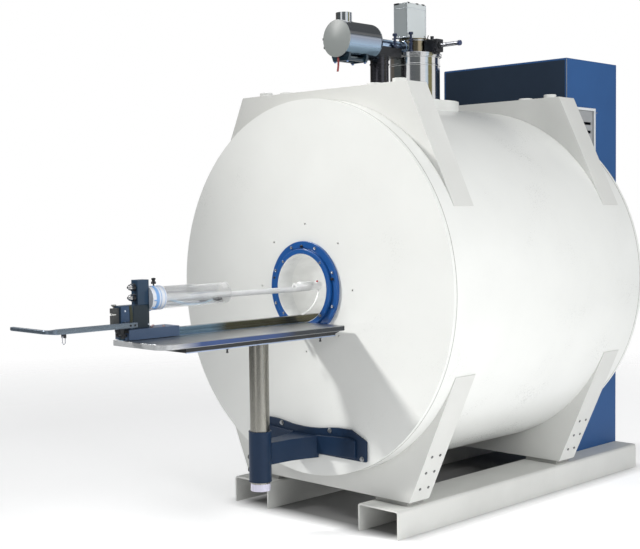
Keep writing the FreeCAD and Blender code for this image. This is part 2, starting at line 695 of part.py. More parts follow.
def windings():
    rings = []
    for index in range(int(size("coil_bays"))):
        at = "former_from + flange_web + %d * (flange_web + bay_width)" % index
        rings.append(tube(("0", at, "bore_height"), "former_outer + coil_depth", "former_outer",
                          "bay_width"))
    for at in ("former_from + flange_web",
               "former_from + former_length - flange_web - outer_coil_width"):
        rings.append(tube(("0", at, "bore_height"), "outer_coil_dia / 2 + outer_coil_depth",
                          "outer_coil_dia / 2", "outer_coil_width"))
    node(group(rings), "coil_windings")


coil_former()
windings()
node(tube(("0", "face + (vessel_length - gradient_length) / 2", "bore_height"),
          "bore_dia / 2 - gradient_fit", "gradient_dia / 2", "gradient_length"),
     "gradient_coil")


# ---------------------------------------------------------------- frames

def slope(half, reach):
    """Angle of a side plate's normal: the plate is tangent just outside the vessel."""
    return ("(atan((%s) / %s) - acos((vessel_half + frame_proud) / sqrt(%s ^ 2 + (%s) ^ 2)))"
            % (reach, half, half, reach))


def frame_outline(half, reach, sign, inset):
    """Half trapezium over the vessel, with its sides tangent; inset moves every side in."""
    angle = slope(half, reach)
    distance = "(vessel_half + frame_proud - %s)" % inset
    top = "((%s) - %s)" % (reach, inset)
    corner_x = "((%s - %s * sin(%s)) / cos(%s))" % (distance, top, angle, angle)
    tangent = [("%s * cos(%s)" % (distance, angle), "%s * sin(%s)" % (distance, angle)),
               ("(vessel_half - frame_lap) * cos(%s)" % angle,
                "(vessel_half - frame_lap) * sin(%s)" % angle)]
    if inset != "0":
        tangent = tangent[:1]
    right = [(corner_x, top)] + tangent
    left = [("-(%s)" % x, z) for x, z in reversed(right)]
    return [(x, "bore_height + %d * (%s)" % (sign, z)) for x, z in right + left]


def side_screws(half, reach, y, hand):
    """Shanks and screws of one lower side plate, square to the plate."""
    angle = slope(half, reach)
    stems, screws = [], []
    for row in range(int(size("side_screw_rows"))):
        for inset in ("side_screw_inset", "frame_width - side_screw_inset"):
            up = "(side_screw_first + %d * side_screw_pitch)" % row
            x = "%d * (%s + %s * sin(%s))" % (hand, half, up, angle)
            z = "bore_height - (%s) + %s * cos(%s)" % (reach, up, angle)
            stem = bind(fresh("Part::Cylinder", "shank"), Radius="side_screw_dia / 2",
                        Height="frame_plate")
            head = bind(fresh("Part::Cylinder", "head"), Radius="side_screw_dia",
                        Height="side_screw_dia * 0.5")
            put(stem, (x, "%s + %s" % (y, inset), z), (0, 1, 0), 0)
            put(head, (x, "%s + %s" % (y, inset), z), (0, 1, 0), 0)
            tilt = "%d * (90 deg + %s)" % (hand, angle)
            bind(head, **{"Placement.Rotation.Angle": tilt})
            bind(stem, **{"Placement.Rotation.Angle": tilt + " + 180 deg"})
            stems.append(stem)
            screws.append(fuse([stem, head], "screw"))
    return stems, screws


def saddle(label, half, reach, sign, y, stems):
    """A welded frame of plate that sits over, or under, the vessel."""
    outer = profile(label + "_outer", frame_outline(half, reach, sign, "0"), y, "frame_width")
    inner = profile(label + "_inner", frame_outline(half, reach, sign, "frame_plate"),
                    "%s + frame_plate" % y, "frame_width - 2 * frame_plate")
    vessel = rod(("0", "face", "bore_height"), "vessel_half", "vessel_length")
    node(cut(outer, [inner, vessel] + stems, label), label)


FRAMES = {"front": "face + frame_setback", "rear": "face + vessel_length - rear_setback - frame_width"}
all_side_screws = []
for end, y in FRAMES.items():
    saddle(end + "_upper_frame", "upper_half", "upper_reach", 1, y, [])
    right_stems, right_screws = side_screws("foot_half", "foot_reach", y, 1)
    left_stems, left_screws = side_screws("foot_half", "foot_reach", y, -1)
    saddle(end + "_lower_frame", "foot_half", "foot_reach", -1, y, right_stems + left_stems)
    all_side_screws += right_screws + left_screws
node(group(all_side_screws), "frame_screws")


def lifting_caps():
    caps = []
    for y in FRAMES.values():
        for hand in (-1, 1):
            for kind in ("tall", "flat"):
                at = ("%d * %s_cap_x" % (hand, kind), y + " + frame_width / 2",
                      "bore_height + upper_reach")
                caps.append(rod(at, kind + "_cap_dia / 2", kind + "_cap_rise", "z"))
    node(group(caps), "lifting_caps")


def foot_pads():
    pads = []
    for y in FRAMES.values():
        for hand in (-1, 1):
            low_x = "rail_inner + pad_inset" if hand > 0 else "pad_inset - foot_half"
            pads.append(box((low_x, y + " + pad_inset / 2", "rail_rise"),
                            ("foot_half - rail_inner - 2 * pad_inset", "frame_width - pad_inset",
                             "pad_thick")))
    node(group(pads), "foot_pads")


def skid_rail(hand):
    """A folded channel, open below, that stands on its two edges."""
    label = "right_rail" if hand > 0 else "left_rail"
    low = "rail_inner" if hand > 0 else "-rail_outer"
    high = "rail_outer" if hand > 0 else "-rail_inner"
    corners = [(low, "0"), (low, "rail_rise"), (high, "rail_rise"), (high, "0"),
               ("%s - rail_wall" % high, "0"),
               ("%s - rail_wall" % high, "rail_rise - rail_wall"),
               ("%s + rail_wall" % low, "rail_rise - rail_wall"),
               ("%s + rail_wall" % low, "0")]
    body = profile(label, corners, "face + rail_front", "rail_length")
    top = size("rail_rise")
    wall = size("rail_wall")
    round_edges(body, "rail_bend", lambda at, edge: along_y(edge) and abs(at.z - top) < 1,
                label + "_outer_fold")
    round_edges(body, "rail_bend - rail_wall",
                lambda at, edge: along_y(edge) and abs(at.z - (top - wall)) < 1,
                label + "_inner_fold")
    return body


lifting_caps()
foot_pads()
node(group([skid_rail(-1), skid_rail(1)]), "skid_rails")


# ---------------------------------------------------------------- cabinet

def cabinet():
    low = ("-cabinet_width / 2", "cabinet_from", "rail_rise")
    outside = box(low, ("cabinet_width", "cabinet_depth", "cabinet_rise"))
    inside = box(("cabinet_sheet - cabinet_width / 2", "cabinet_from + cabinet_sheet",
                  "rail_rise + cabinet_sheet"),
                 ("cabinet_width - 2 * cabinet_sheet", "cabinet_depth",
                  "cabinet_rise - 2 * cabinet_sheet"))
    window = box(("cabinet_width / 2 - 2 * cabinet_sheet", "vent_front", "vent_low"),
                 ("3 * cabinet_sheet", "vent_width", "vent_height"))
    node(cut(outside, [inside, window], "cabinet_shell"), "cabinet_shell")
    node(box(("cabinet_sheet - cabinet_width / 2", "face + rear_reach - cabinet_sheet",
              "rail_rise + cabinet_sheet"),
             ("cabinet_width - 2 * cabinet_sheet", "cabinet_sheet",
              "cabinet_rise - 2 * cabinet_sheet")), "cabinet_back_panel")


def vent_panel():
    """A rimmed tray in the cabinet's side, with a row of slots."""
    x = "cabinet_width / 2 - vent_deep"
    tray = box((x, "vent_front", "vent_low"), ("vent_deep", "vent_width", "vent_height"))
    hollow = box((x + " + cabinet_sheet", "vent_front + vent_rim", "vent_low + vent_rim"),
                 ("vent_deep", "vent_width - 2 * vent_rim", "vent_height - 2 * vent_rim"))
    slots = []
    for index in range(int(size("vent_slots"))):
        up = "vent_low + 3 * vent_rim + %d * (vent_height - 6 * vent_rim) / vent_slots" % index
        slots.append(box((x, "vent_front + 2 * vent_rim", up),
                         ("cabinet_sheet", "vent_width - 4 * vent_rim", "vent_rim")))
    node(cut(tray, [hollow] + slots, "vent_panel"), "vent_panel")


def cabinet_rack():
    """Upright frame inside the cabinet that carries its electronics."""
    parts = []
    left = "cabinet_sheet - cabinet_width / 2"
    right = "cabinet_width / 2 - vent_deep - rack_post - cabinet_sheet"
    for x in (left, right):
        parts.append(box((x, "cabinet_from + cabinet_sheet", "rail_rise + cabinet_sheet"),
                         ("rack_post", "rack_post", "cabinet_rise - 2 * cabinet_sheet")))
    for index in range(int(size("rack_shelves"))):
        parts.append(box((left, "cabinet_from + cabinet_sheet",
                          "rail_rise + rack_first + %d * rack_pitch" % index),
                         ("cabinet_width - 2 * cabinet_sheet - vent_deep", "rack_deep",
                          "rack_shelf")))
    node(fuse(parts, "cabinet_rack"), "cabinet_rack")


cabinet()
vent_panel()
cabinet_rack()


# ---------------------------------------------------------------- turret

def turret():
    neck = tube(("0", "face + neck_at", "vessel_top - neck_root"), "neck_dia / 2",
                "neck_dia / 2 - neck_wall", "turret_rise + neck_root", "z")
    flange = tube(("0", "face + neck_at", "turret_top - turret_flange_thick"),
                  "turret_flange_dia / 2", "stage_one_dia / 2", "turret_flange_thick", "z")
    node(fuse([neck, flange], "turret_neck"), "turret_neck")
    body = rod(("0", "face + neck_at", "turret_top"), "cold_head_dia / 2", "cold_head_rise", "z")
    one = rod(("0", "face + neck_at", "bore_height + shield_half"), "stage_one_dia / 2",
              "turret_top - bore_height - shield_half", "z")
    two = rod(("0", "face + neck_at", "bore_height + helium_half"), "stage_two_dia / 2",
              "shield_half - helium_half", "z")
    low = ("-cover_x / 2", "face + neck_at - cover_back - cover_y / 2", "cover_low")
    shell = box(low, ("cover_x", "cover_y", "cover_rise"))
    hollow = box(("cover_sheet - cover_x / 2", low[1] + " + cover_sheet", "cover_low"),
                 ("cover_x - 2 * cover_sheet", "cover_y - 2 * cover_sheet",
                  "cover_rise - cover_sheet"))
    node(cut(shell, [hollow], "cold_head_cover"), "cold_head_cover")
    motor = rod(("0", "face + neck_at - cover_back", "cover_low"), "motor_dia / 2", "motor_rise",
                "z")
    node(fuse([body, one, two, motor], "cold_head"), "cold_head")


def manifold():
    """Vent manifold, its stub and its link to the cold head, welded in one."""
    front = ("0", "face + manifold_at", "manifold_z")
    body = rod(front, "manifold_dia / 2", "manifold_length - manifold_round")
    heel = ("0", "face + manifold_at + manifold_length - manifold_round", "manifold_z")
    rim = put(bind(fresh("Part::Torus", "heel"), Radius1="manifold_dia / 2 - manifold_round",
                   Radius2="manifold_round"), heel, *TURNS["y"])
    plug = rod(heel, "manifold_dia / 2 - manifold_round", "manifold_round")
    stub_at = ("0", "face + manifold_at + stub_at", "manifold_z")
    stub = rod(stub_at, "stub_dia / 2", "manifold_dia / 2 + stub_rise", "z")
    collar = rod(stub_at, "stub_dia / 2 + stub_collar", "manifold_dia / 2 + stub_collar", "z")
    link = rod(heel, "link_dia / 2", "neck_at - manifold_at - manifold_length + manifold_round")
    head = rod(("0", "face + neck_at", "turret_top"), "cold_head_dia / 2", "cold_head_rise", "z")
    hollow = rod(front, "manifold_dia / 2 - manifold_wall",
                 "manifold_length - manifold_round - manifold_wall")
    bore = rod(stub_at, "stub_dia / 2 - manifold_wall", "manifold_dia", "z")
    plug_hole = rod(heel, "link_dia / 2 - manifold_wall", "manifold_round / 2")
    cradle = box(("-cradle_x / 2", "face + manifold_at + cradle_back",
                  "manifold_low - cradle_deep / 2"), ("cradle_x", "cradle_y", "cradle_deep"))
    node(cut(fuse([body, rim, plug, stub, collar, link, cradle]), [hollow, bore, plug_hole, head],
             "vent_manifold"), "vent_manifold")
    disc = rod(("0", "face + manifold_at - cap_thick", "manifold_z"), "manifold_dia / 2",
               "cap_thick")
    ball = put(bind(fresh("Part::Sphere", "dish"), Radius="cap_dish"),
               ("0", "face + manifold_at - cap_thick + cap_dish", "manifold_z"))
    node(common([disc, ball], "manifold_cap"), "manifold_cap")


def service_pipe():
    node(tube(("0", "face + pipe_at", "vessel_top - neck_root"), "pipe_dia / 2",
              "pipe_dia / 2 - neck_wall", "block_low - vessel_top + neck_root", "z"),
         "service_pipe")
    body = box(("-block_x / 2", "face + block_front", "block_low"),
               ("block_x", "neck_at - turret_flange_dia / 2 - glide_gap - block_front",
                "block_rise + link_dia / 4"))
    link = rod(("0", "face + manifold_at", "manifold_z"), "link_dia / 2", "neck_at - manifold_at")
    drum = rod(("0", "face + manifold_at", "manifold_z"), "manifold_dia / 2 + turret_clear",
               "manifold_length")
    node(cut(body, [link, drum], "valve_block"), "valve_block")


def relief_valve():
    x = "valve_from_axis"
    body = box((x, "face + neck_at - valve_y / 2", "turret_top"),
               ("valve_x", "valve_y", "valve_z"))
    drum = rod(("0", "face + neck_at", "turret_top"), "cold_head_dia / 2 + turret_clear",
               "valve_z", "z")
    outer = "valve_from_axis + valve_x"
    socket = rod((outer + " - stem_socket", "face + neck_at", "stem_z"),
                 "stem_dia / 2 + slide_fit", "stem_socket", "x")
    node(cut(body, [drum, socket], "relief_valve"), "relief_valve")
    stem = rod((outer + " - stem_socket + glide_gap", "face + neck_at", "stem_z"),
               "stem_dia / 2", "stem_socket + stem_length - glide_gap", "x")
    knob = rod((outer + " + stem_length - stem_knob_dia / 2", "face + neck_at", "stem_z"),
               "stem_knob_dia / 2", "stem_knob_dia / 2", "x")
    node(fuse([stem, knob], "valve_stem"), "valve_stem")


def turret_fittings():
    """Small gas fittings: stems with a cap, standing on the valve block and the flange."""
    block_top_z = "block_low + block_rise + link_dia / 4"
    places = {"left_fitting": ("fitting_inset - block_x / 2", "block_front + left_fitting_at",
                               block_top_z),
              "right_fitting": ("block_x / 2 - fitting_inset", "block_front + right_fitting_at",
                                block_top_z),
              "tall_fitting": ("block_x / 2 + fitting_side", "neck_at - tall_fitting_at",
                               "turret_top")}
    made = []
    for kind, (x, y, z) in places.items():
        rise = kind + "_rise"
        stem = rod((x, "face + " + y, z), "fitting_dia / 2", rise, "z")
        top = rod((x, "face + " + y, "%s + %s" % (z, rise)), "fitting_dia * 0.8", "fitting_cap",
                  "z")
        made.append(fuse([stem, top], "fitting"))
    node(group(made), "turret_fittings")


def ribbon():
    node(box(("-ribbon_wide / 2", "face + manifold_at + ribbon_back",
              "manifold_low - glide_gap - ribbon_long"),
             ("ribbon_wide", "ribbon_thick", "ribbon_long")), "hanging_ribbon")


turret()
manifold()
service_pipe()
relief_valve()
turret_fittings()
ribbon()


# ---------------------------------------------------------------- bracket and sleeve

CLAMPS = {"upper_clamp_screw": "sleeve_low - upper_clamp_rise",
          "lower_clamp_screw": "sleeve_low - lower_clamp_rise"}


def column_bracket():
    """Face plate with two wings, its stiffening box and the arm to the sleeve."""
    right = [("wing_half", "wing_low"), ("wing_half", "wing_end_high"),
             ("wing_shoulder", "wing_high"), ("wing_notch", "wing_high"),
             ("arm_half", "wing_high + wing_dip")]
    corners = right + [("-" + x, z) for x, z in reversed(right)]
    corners = [(x, "bore_height - (%s)" % z) for x, z in corners]
    plate = profile("wing_plate", corners, "face - wing_thick", "wing_thick")
    stiff = box(("-wing_box_half", "face - wing_thick - wing_box_deep",
                 "bore_height - wing_low"),
                ("2 * wing_box_half", "wing_box_deep",
                 "wing_low - wing_high - wing_dip - wing_box_drop"))
    arm = box(("-arm_half", "column_y", "bore_height - arm_low"),
              ("2 * arm_half", "column_at - wing_thick", "arm_low - arm_high"))
    drum = rod(("0", "column_y", "bore_height - arm_low"), "sleeve_dia / 2",
               "arm_low - arm_high", "z")
    behind = box(("-arm_half", "column_y - sleeve_dia", "bore_height - arm_low"),
                 ("2 * arm_half", "sleeve_dia", "arm_low - arm_high"))
    node(cut(fuse([plate, stiff, arm]), [drum, behind] + bracket_stems, "column_bracket"),
         "column_bracket")
    node(group(bracket_bolts), "bracket_bolts")


def column_sleeve():
    start = ("0", "column_y", "bore_height - sleeve_low")
    length = "sleeve_low - sleeve_top"
    body = rod(start, "sleeve_dia / 2", length, "z")
    bosses, holes = [], []
    for drop in CLAMPS.values():
        at = ("-column_dia / 2", "column_y", "bore_height - (%s)" % drop)
        bosses.append(rod(at, "clamp_dia", "sleeve_wall + clamp_boss", "-x"))
        holes.append(rod(at, "clamp_dia / 2 + slide_fit", "sleeve_dia", "-x"))
    hole = rod(start, "column_dia / 2 + slide_fit", length, "z")
    node(cut(fuse([body] + bosses), [hole] + holes, "column_sleeve"), "column_sleeve")


def clamp_screws():
    for label, drop in CLAMPS.items():
        z = "bore_height - (%s)" % drop
        shaft = rod(("-column_dia / 2 - clamp_slack", "column_y", z), "clamp_dia / 2",
                    "sleeve_wall + clamp_knob_gap", "-x")
        knob = rod(("-sleeve_dia / 2 - clamp_knob_gap", "column_y", z), "clamp_knob_dia / 2",
                   "clamp_knob_long", "-x")
        node(fuse([shaft, knob], label), label)


column_bracket()
column_sleeve()
clamp_screws()


# ---------------------------------------------------------------- loading table

def table_plate():
    left, right = "table_left", "table_right"
    far, near = "face - table_front", "face - table_gap"
    body = fresh("PartDesign::Body", "table_plate")
    sketch = outline(body, "XY_Plane", [(left, far), (right, far), (right, near), (left, near)],
                     "table_outline")
    pad = body.newObject("PartDesign::Pad", "table_pad")
    pad.Profile = sketch
    pad.setExpression("Length", expand("table_thick"))
    sketch.Visibility = False
    body.setExpression("Placement.Base.z", expand("table_low"))
    doc.recompute()
    right_x = size("table_right")
    middle_y = size("face - table_front / 2")
    round_edges(body, "table_corner",
                lambda at, edge: abs(at.x - right_x) < 1 and at.y < middle_y
                and abs(edge.tangentAt(edge.FirstParameter).z) > 0.99, "table_round")
    node(body, "table_plate")


def table_beam():
    """Ladder frame under the plate, with the flange that takes the column's head."""
    low = ("table_left + beam_inset", "face - beam_front", "beam_low")
    span_x = "table_right - table_left - 2 * beam_inset"
    outside = box(low, (span_x, "beam_front - beam_gap", "beam_deep"))
    tools = []
    half = "(beam_front - beam_gap) / 2"
    for index in range(2):
        tools.append(box(("table_left + beam_inset + beam_wall",
                          "face - beam_front + %d * %s + beam_wall" % (index, half),
                          "beam_low"),
                         (span_x + " - 2 * beam_wall", half + " - 1.5 * beam_wall",
                          "beam_deep")))
    head = rod(("0", "column_y", "beam_low"), "head_dia / 2", "beam_deep", "z")
    edge = box(low, (span_x, "beam_front - beam_gap", "beam_deep"))
    flange = tube(("0", "column_y", "beam_low - head_thick"), "head_dia / 2", "column_dia / 2",
                  "head_thick", "z")
    node(fuse([cut(outside, tools), common([head, edge]), flange], "table_beam"), "table_beam")


def table_column():
    length = "column_low - table_top_at - table_thick - beam_deep"
    start = ("0", "column_y", "bore_height - column_low")
    node(tube(start, "column_dia / 2", "column_dia / 2 - column_wall", length, "z"),
         "table_column")


def guide_rail():
    start = "face - table_front + guide_inset"
    length = "table_front - guide_inset + guide_reach"
    bar = box(("-guide_width / 2", start, "table_z"), ("guide_width", length, "guide_rise"))
    grooves = []
    for x in ("-guide_width / 2", "guide_width / 2 - groove_deep"):
        grooves.append(box((x, start, "table_z + groove_low"),
                           ("groove_deep", length, "groove_high")))
    node(cut(bar, grooves, "guide_rail"), "guide_rail")


table_plate()
table_beam()
table_column()
guide_rail()


# ---------------------------------------------------------------- carriage

STAGE_KNOBS = {"upper_stage_knob": "upper_stage_at", "lower_stage_knob": "lower_stage_at"}


def carriage_sled():
    low_z = "table_z + sled_lift"
    block = box(("-sled_half", "face - sled_back", low_z),
                ("2 * sled_half", "sled_back - sled_front", "sled_z - (%s)" % low_z))
    slot = box(("-guide_width / 2 - glide_gap", "face - sled_back", low_z),
               ("guide_width + 2 * glide_gap", "sled_back - sled_front",
                "guide_top + glide_gap - (%s)" % low_z))
    lock_x, lock_z = "sled_half - lock_inset", "table_z + sled_lift + lock_inset"
    lock = rod((lock_x, "face - sled_back", lock_z), "lock_shaft_dia / 2 + slide_fit",
               "lock_deep")
    node(cut(block, [slot, lock], "carriage_sled"), "carriage_sled")
    shaft = rod((lock_x, "face - sled_back - lock_proud", lock_z), "lock_shaft_dia / 2",
                "lock_proud + lock_deep - glide_gap")
    knob = rod((lock_x, "face - sled_back - lock_proud - lock_knob_dia / 2", lock_z),
               "lock_knob_dia / 2", "lock_knob_dia / 2")
    node(fuse([shaft, knob], "lock_knob"), "lock_knob")


def blocks():
    lower = box(("-block_half", "block_y - lower_block_long", "sled_z"),
                ("2 * block_half", "lower_block_long", "block_z - sled_z"))
    node(lower, "lower_block")
    upper = box(("-block_half", "block_y - upper_block_long", "block_z"),
                ("2 * block_half", "upper_block_long", "block_split + block_top"))
    bosses, holes = [], []
    edge = "block_y - upper_block_long - stage_boss_long"
    for rise in STAGE_KNOBS.values():
        z = "bore_height + %s" % rise
        bosses.append(rod(("0", "block_y - upper_block_long", z), "stage_boss_dia / 2",
                          "stage_boss_long", "-y"))
        holes.append(rod(("0", edge, z), "stage_shaft_dia / 2 + slide_fit",
                         "stage_boss_long + stage_socket"))
    node(cut(fuse([upper] + bosses), holes, "upper_block"), "upper_block")
    for label, rise in STAGE_KNOBS.items():
        z = "bore_height + %s" % rise
        shaft = rod(("0", edge + " - glide_gap", z), "stage_shaft_dia / 2",
                    "stage_boss_long + stage_socket")
        knob = rod(("0", edge + " - glide_gap - stage_knob_long", z), "stage_knob_dia / 2",
                   "stage_knob_long")
        node(fuse([shaft, knob], label), label)


def split_clamp():
    """Small block with a slot, closed by a thumbscrew, on the outer end of the lower block."""
    y = "block_y - lower_block_long - clamp_block_long"
    z = "sled_z + clamp_lift"
    top = "block_z - clamp_drop"
    rise = "(%s - (%s))" % (top, z)
    body = box(("-clamp_block_x / 2", y, z), ("clamp_block_x", "clamp_block_long", rise))
    slot = box(("-clamp_block_x / 2", y, "%s + %s * clamp_jaw" % (z, rise)),
               ("clamp_block_x", "clamp_block_long - clamp_web", "clamp_slot"))
    at = ("0", y + " + thumb_at", z + " + clamp_lift")
    hole = rod(at, "thumb_shaft_dia / 2 + slide_fit", rise, "z")
    node(cut(body, [slot, hole], "split_clamp"), "split_clamp")
    shaft = rod(("0", at[1], at[2] + " + glide_gap"), "thumb_shaft_dia / 2",
                "%s + thumb_lift - (%s) - glide_gap" % (top, at[2]), "z")
    knob = rod(("0", at[1], top + " + thumb_lift"), "thumb_dia / 2", "thumb_long", "z")
    node(fuse([shaft, knob], "thumbscrew"), "thumbscrew")


def sample_tube():
    start = ("0", "block_y", "bed_z")
    cap = rod(start, "cap_dia / 2", "cap_long")
    pocket = rod(("0", "block_y + cap_base", "bed_z"), "tube_dia / 2", "cap_long")
    screw_hole = rod(("0", "block_y + tube_screw_at", "bed_z + tube_dia / 2"),
                     "thumb_shaft_dia / 2 + slide_fit", "cap_dia", "z")
    node(cut(cap, [pocket, screw_hole], "tube_end_cap"), "tube_end_cap")
    node(tube(("0", "block_y + cap_base", "bed_z"), "tube_dia / 2", "tube_dia / 2 - tube_wall",
              "block_face - tube_end - cap_base"), "clear_tube")
    z = "bed_z + tube_dia / 2 + glide_gap"
    shaft = rod(("0", "block_y + tube_screw_at", z), "thumb_shaft_dia / 2",
                "tube_screw_lift + tube_screw_head / 2", "z")
    knob = rod(("0", "block_y + tube_screw_at", z + " + tube_screw_lift"), "thumb_dia / 2",
               "tube_screw_head", "z")
    node(fuse([shaft, knob], "tube_clamp_screw"), "tube_clamp_screw")


def bed_prop():
    """A thin bent strip from the holder's tip down to a shoe on the guide rail."""
    thick, wide, foot = size("prop_thick"), size("prop_wide"), size("prop_turn")
    top_z = size("bed_z - holder_dia / 2")
    rail_z = size("guide_top + glide_gap")
    centre_z = top_z + size("prop_centre_rise")
    bend = (centre_z - rail_z - thick) / math.sin(math.radians(foot))
    axis_y = size("face + holder_reach - prop_inset") - bend
    centre = FreeCAD.Vector(-wide / 2, axis_y, centre_z)
    start = math.degrees(math.asin((centre.z - top_z - 2 * thick) / bend))
    outer = Part.makeCylinder(bend, wide, centre, FreeCAD.Vector(1, 0, 0), 360)
    inner = Part.makeCylinder(bend - thick, wide, centre, FreeCAD.Vector(1, 0, 0), 360)
    far = 2 * bend
    corners = [centre]
    for angle in (foot, start):
        corners.append(centre + FreeCAD.Vector(0, far * math.cos(math.radians(angle)),
                                               -far * math.sin(math.radians(angle))))
    wedge = Part.Face(Part.makePolygon(corners + corners[:1])).extrude(FreeCAD.Vector(wide, 0, 0))
    strip = outer.cut(inner).common(wedge)
    foot_y = axis_y + bend * math.cos(math.radians(foot))
    long = size("shoe_long")
    shoe = Part.makeBox(2 * wide, long, 1.5 * thick,
                        FreeCAD.Vector(-wide, foot_y - long * 2 / 3, rail_z))
    made = doc.addObject("Part::Feature", "bed_prop")
    made.Shape = strip.fuse(shoe).removeSplitter()
    return made


def animal_bed():
    """A trough on the bore axis, held in the end cap, with a round head holder at its tip."""
    start = ("0", "block_y + cap_base", "bed_z")
    length = "block_face - cap_base + bed_reach"
    trough = tube(start, "bed_dia / 2", "bed_dia / 2 - bed_wall", length)
    lid = box(("-bed_dia", "block_y", "bed_z + bed_lip"),
              ("2 * bed_dia", "2 * block_face", "bed_dia"))
    node(cut(trough, [lid], "animal_bed"), "animal_bed")
    inside = rod(("0", "face + bed_reach - holder_back", "bed_z"), "holder_dia / 2",
                 "holder_back + holder_reach - bed_reach")
    hole = rod(("0", "face + bed_reach - holder_back", "bed_z"), "holder_dia / 4",
               "holder_back + holder_reach - bed_reach")
    node(cut(fuse([inside, bed_prop()]), [hole], "head_holder"), "head_holder")


def handle():
    """A flat bar along the table that turns into a round grip across its end."""
    bar = box(("bar_x - bar_wide / 2", "face - front_reach + grip_dia", "bar_z - bar_thick / 2"),
              ("bar_wide", "front_reach - grip_dia - bar_back", "bar_thick"))
    grip_y = "face - front_reach + grip_dia / 2"
    grip = rod(("bar_x + bar_wide / 2", grip_y, "bar_z"), "grip_dia / 2", "grip_long", "-x")
    elbow = box(("bar_x - bar_wide / 2", grip_y, "bar_z - bar_thick / 2"),
                ("bar_wide", "grip_dia", "bar_thick"))
    pin = rod(("bar_x + bar_wide / 2", "face - loop_at", "loop_pin_z"), "loop_wire / 2",
              "bar_wide", "-x")
    ears = []
    for x in ("bar_x + bar_wide / 2 - ear_thick", "bar_x - bar_wide / 2"):
        ears.append(box((x, "face - loop_at - ear_long / 2", "bar_z - bar_thick / 2 - ear_drop"),
                        ("ear_thick", "ear_long", "ear_drop")))
    anchor = box(("block_half", "face - bar_back - anchor_inset - anchor_long",
                  "bar_z - bar_thick / 2"), ("bar_gap", "anchor_long", "bar_thick"))
    node(fuse([bar, grip, elbow, pin, anchor] + ears, "handle_bar"), "handle_bar")


def pull_loop():
    """A long ring that hangs on the pin under the handle bar."""
    centre_z = "loop_pin_z + loop_wire * 1.5 + slide_fit - loop_high / 2"
    wide = "loop_wide / 2"
    span = "(loop_high - loop_wide) / 2"
    thick = "loop_wire"
    parts, holes = [], []
    low_x = "bar_x - loop_wire / 2"
    for sign in (-1, 1):
        at = (low_x, "face - loop_at", "%s + %d * %s" % (centre_z, sign, span))
        parts.append(rod(at, wide, thick, "x"))
        holes.append(rod(at, wide + " - loop_wire", thick, "x"))
    parts.append(box((low_x, "face - loop_at - " + wide, "%s - %s" % (centre_z, span)),
                     (thick, "loop_wide", "2 * " + span)))
    holes.append(box((low_x, "face - loop_at - %s + loop_wire" % wide,
                      "%s - %s" % (centre_z, span)),
                     (thick, "loop_wide - 2 * loop_wire", "2 * " + span)))
    node(cut(fuse(parts), holes, "pull_loop"), "pull_loop")


carriage_sled()
blocks()
split_clamp()
sample_tube()
animal_bed()
handle()
pull_loop()


# ---------------------------------------------------------------- check and write

def check():
    """Stop if any object failed or any sub-part has no sound shape."""
    doc.recompute()
    for obj in doc.Objects:
        if "Invalid" in obj.State or "Error" in obj.State:
            raise RuntimeError("%s (%s) failed: %s" % (obj.Name, obj.Label, obj.getStatusString()))
    for piece in NODES:
        shape = piece.Shape
        if shape.isNull() or not shape.isValid() or not shape.Solids:
            raise RuntimeError("%s has no sound solid" % piece.Label)


def write():
    os.makedirs("parts", exist_ok=True)
    for piece in NODES:
        piece.Shape.exportStep("parts/%s.step" % piece.Label)


check()
write()
for piece in NODES:
    print("%-22s %3d solids %12.1f cm3" % (piece.Label, len(piece.Shape.Solids),
                                          piece.Shape.Volume / 1000))
print(len(NODES), "nodes")
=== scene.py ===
"""Looks of a small-bore MRI scanner: finishes and fine parts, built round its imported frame."""

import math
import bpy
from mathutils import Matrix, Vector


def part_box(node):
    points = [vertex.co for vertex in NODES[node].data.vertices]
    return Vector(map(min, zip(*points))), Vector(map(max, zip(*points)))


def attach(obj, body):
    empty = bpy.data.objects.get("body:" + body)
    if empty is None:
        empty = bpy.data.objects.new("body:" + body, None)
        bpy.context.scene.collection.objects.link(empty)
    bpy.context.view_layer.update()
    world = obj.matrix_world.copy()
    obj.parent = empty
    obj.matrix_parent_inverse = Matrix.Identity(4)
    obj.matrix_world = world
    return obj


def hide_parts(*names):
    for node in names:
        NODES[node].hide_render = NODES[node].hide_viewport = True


bl_info = {"name": "Small-bore MRI scanner", "version": (1, 0, 0), "blender": (4, 5, 0),
    "location": "View3D > Sidebar > Scanner",
    "description": "Builds the finishes and fine parts of a small-bore MRI scanner and its studio",
    "category": "Object",}

import bmesh
import bpy
from mathutils import Matrix, Vector

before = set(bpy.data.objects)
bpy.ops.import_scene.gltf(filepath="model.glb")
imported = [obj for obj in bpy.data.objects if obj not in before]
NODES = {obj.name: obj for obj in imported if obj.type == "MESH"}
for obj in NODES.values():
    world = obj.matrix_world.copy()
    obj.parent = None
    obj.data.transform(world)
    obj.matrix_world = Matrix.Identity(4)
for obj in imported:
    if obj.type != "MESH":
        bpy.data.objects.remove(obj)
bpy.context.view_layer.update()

MM = 0.001  # metres in a millimetre: shapes are drawn in mm, the scene is in metres
FULL_TURN = 2 * math.pi
X, Y, Z = Vector((1, 0, 0)), Vector((0, 1, 0)), Vector((0, 0, 1))
PLANES = {"x": (Y, Z, X), "y": (X, Z, Y), "z": (X, Y, Z)}
FLUTE = 1 / 19  # depth of a knob's flutes, as a share of its mean radius


# ---------------------------------------------------------------- places, in mm

def span(node):
    """Lowest and highest corner of a CAD node, in mm."""
    return [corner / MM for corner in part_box(node)]


def middle(node):
    """Centre of a CAD node's box, in mm."""
    return sum(span(node), Vector()) / 2


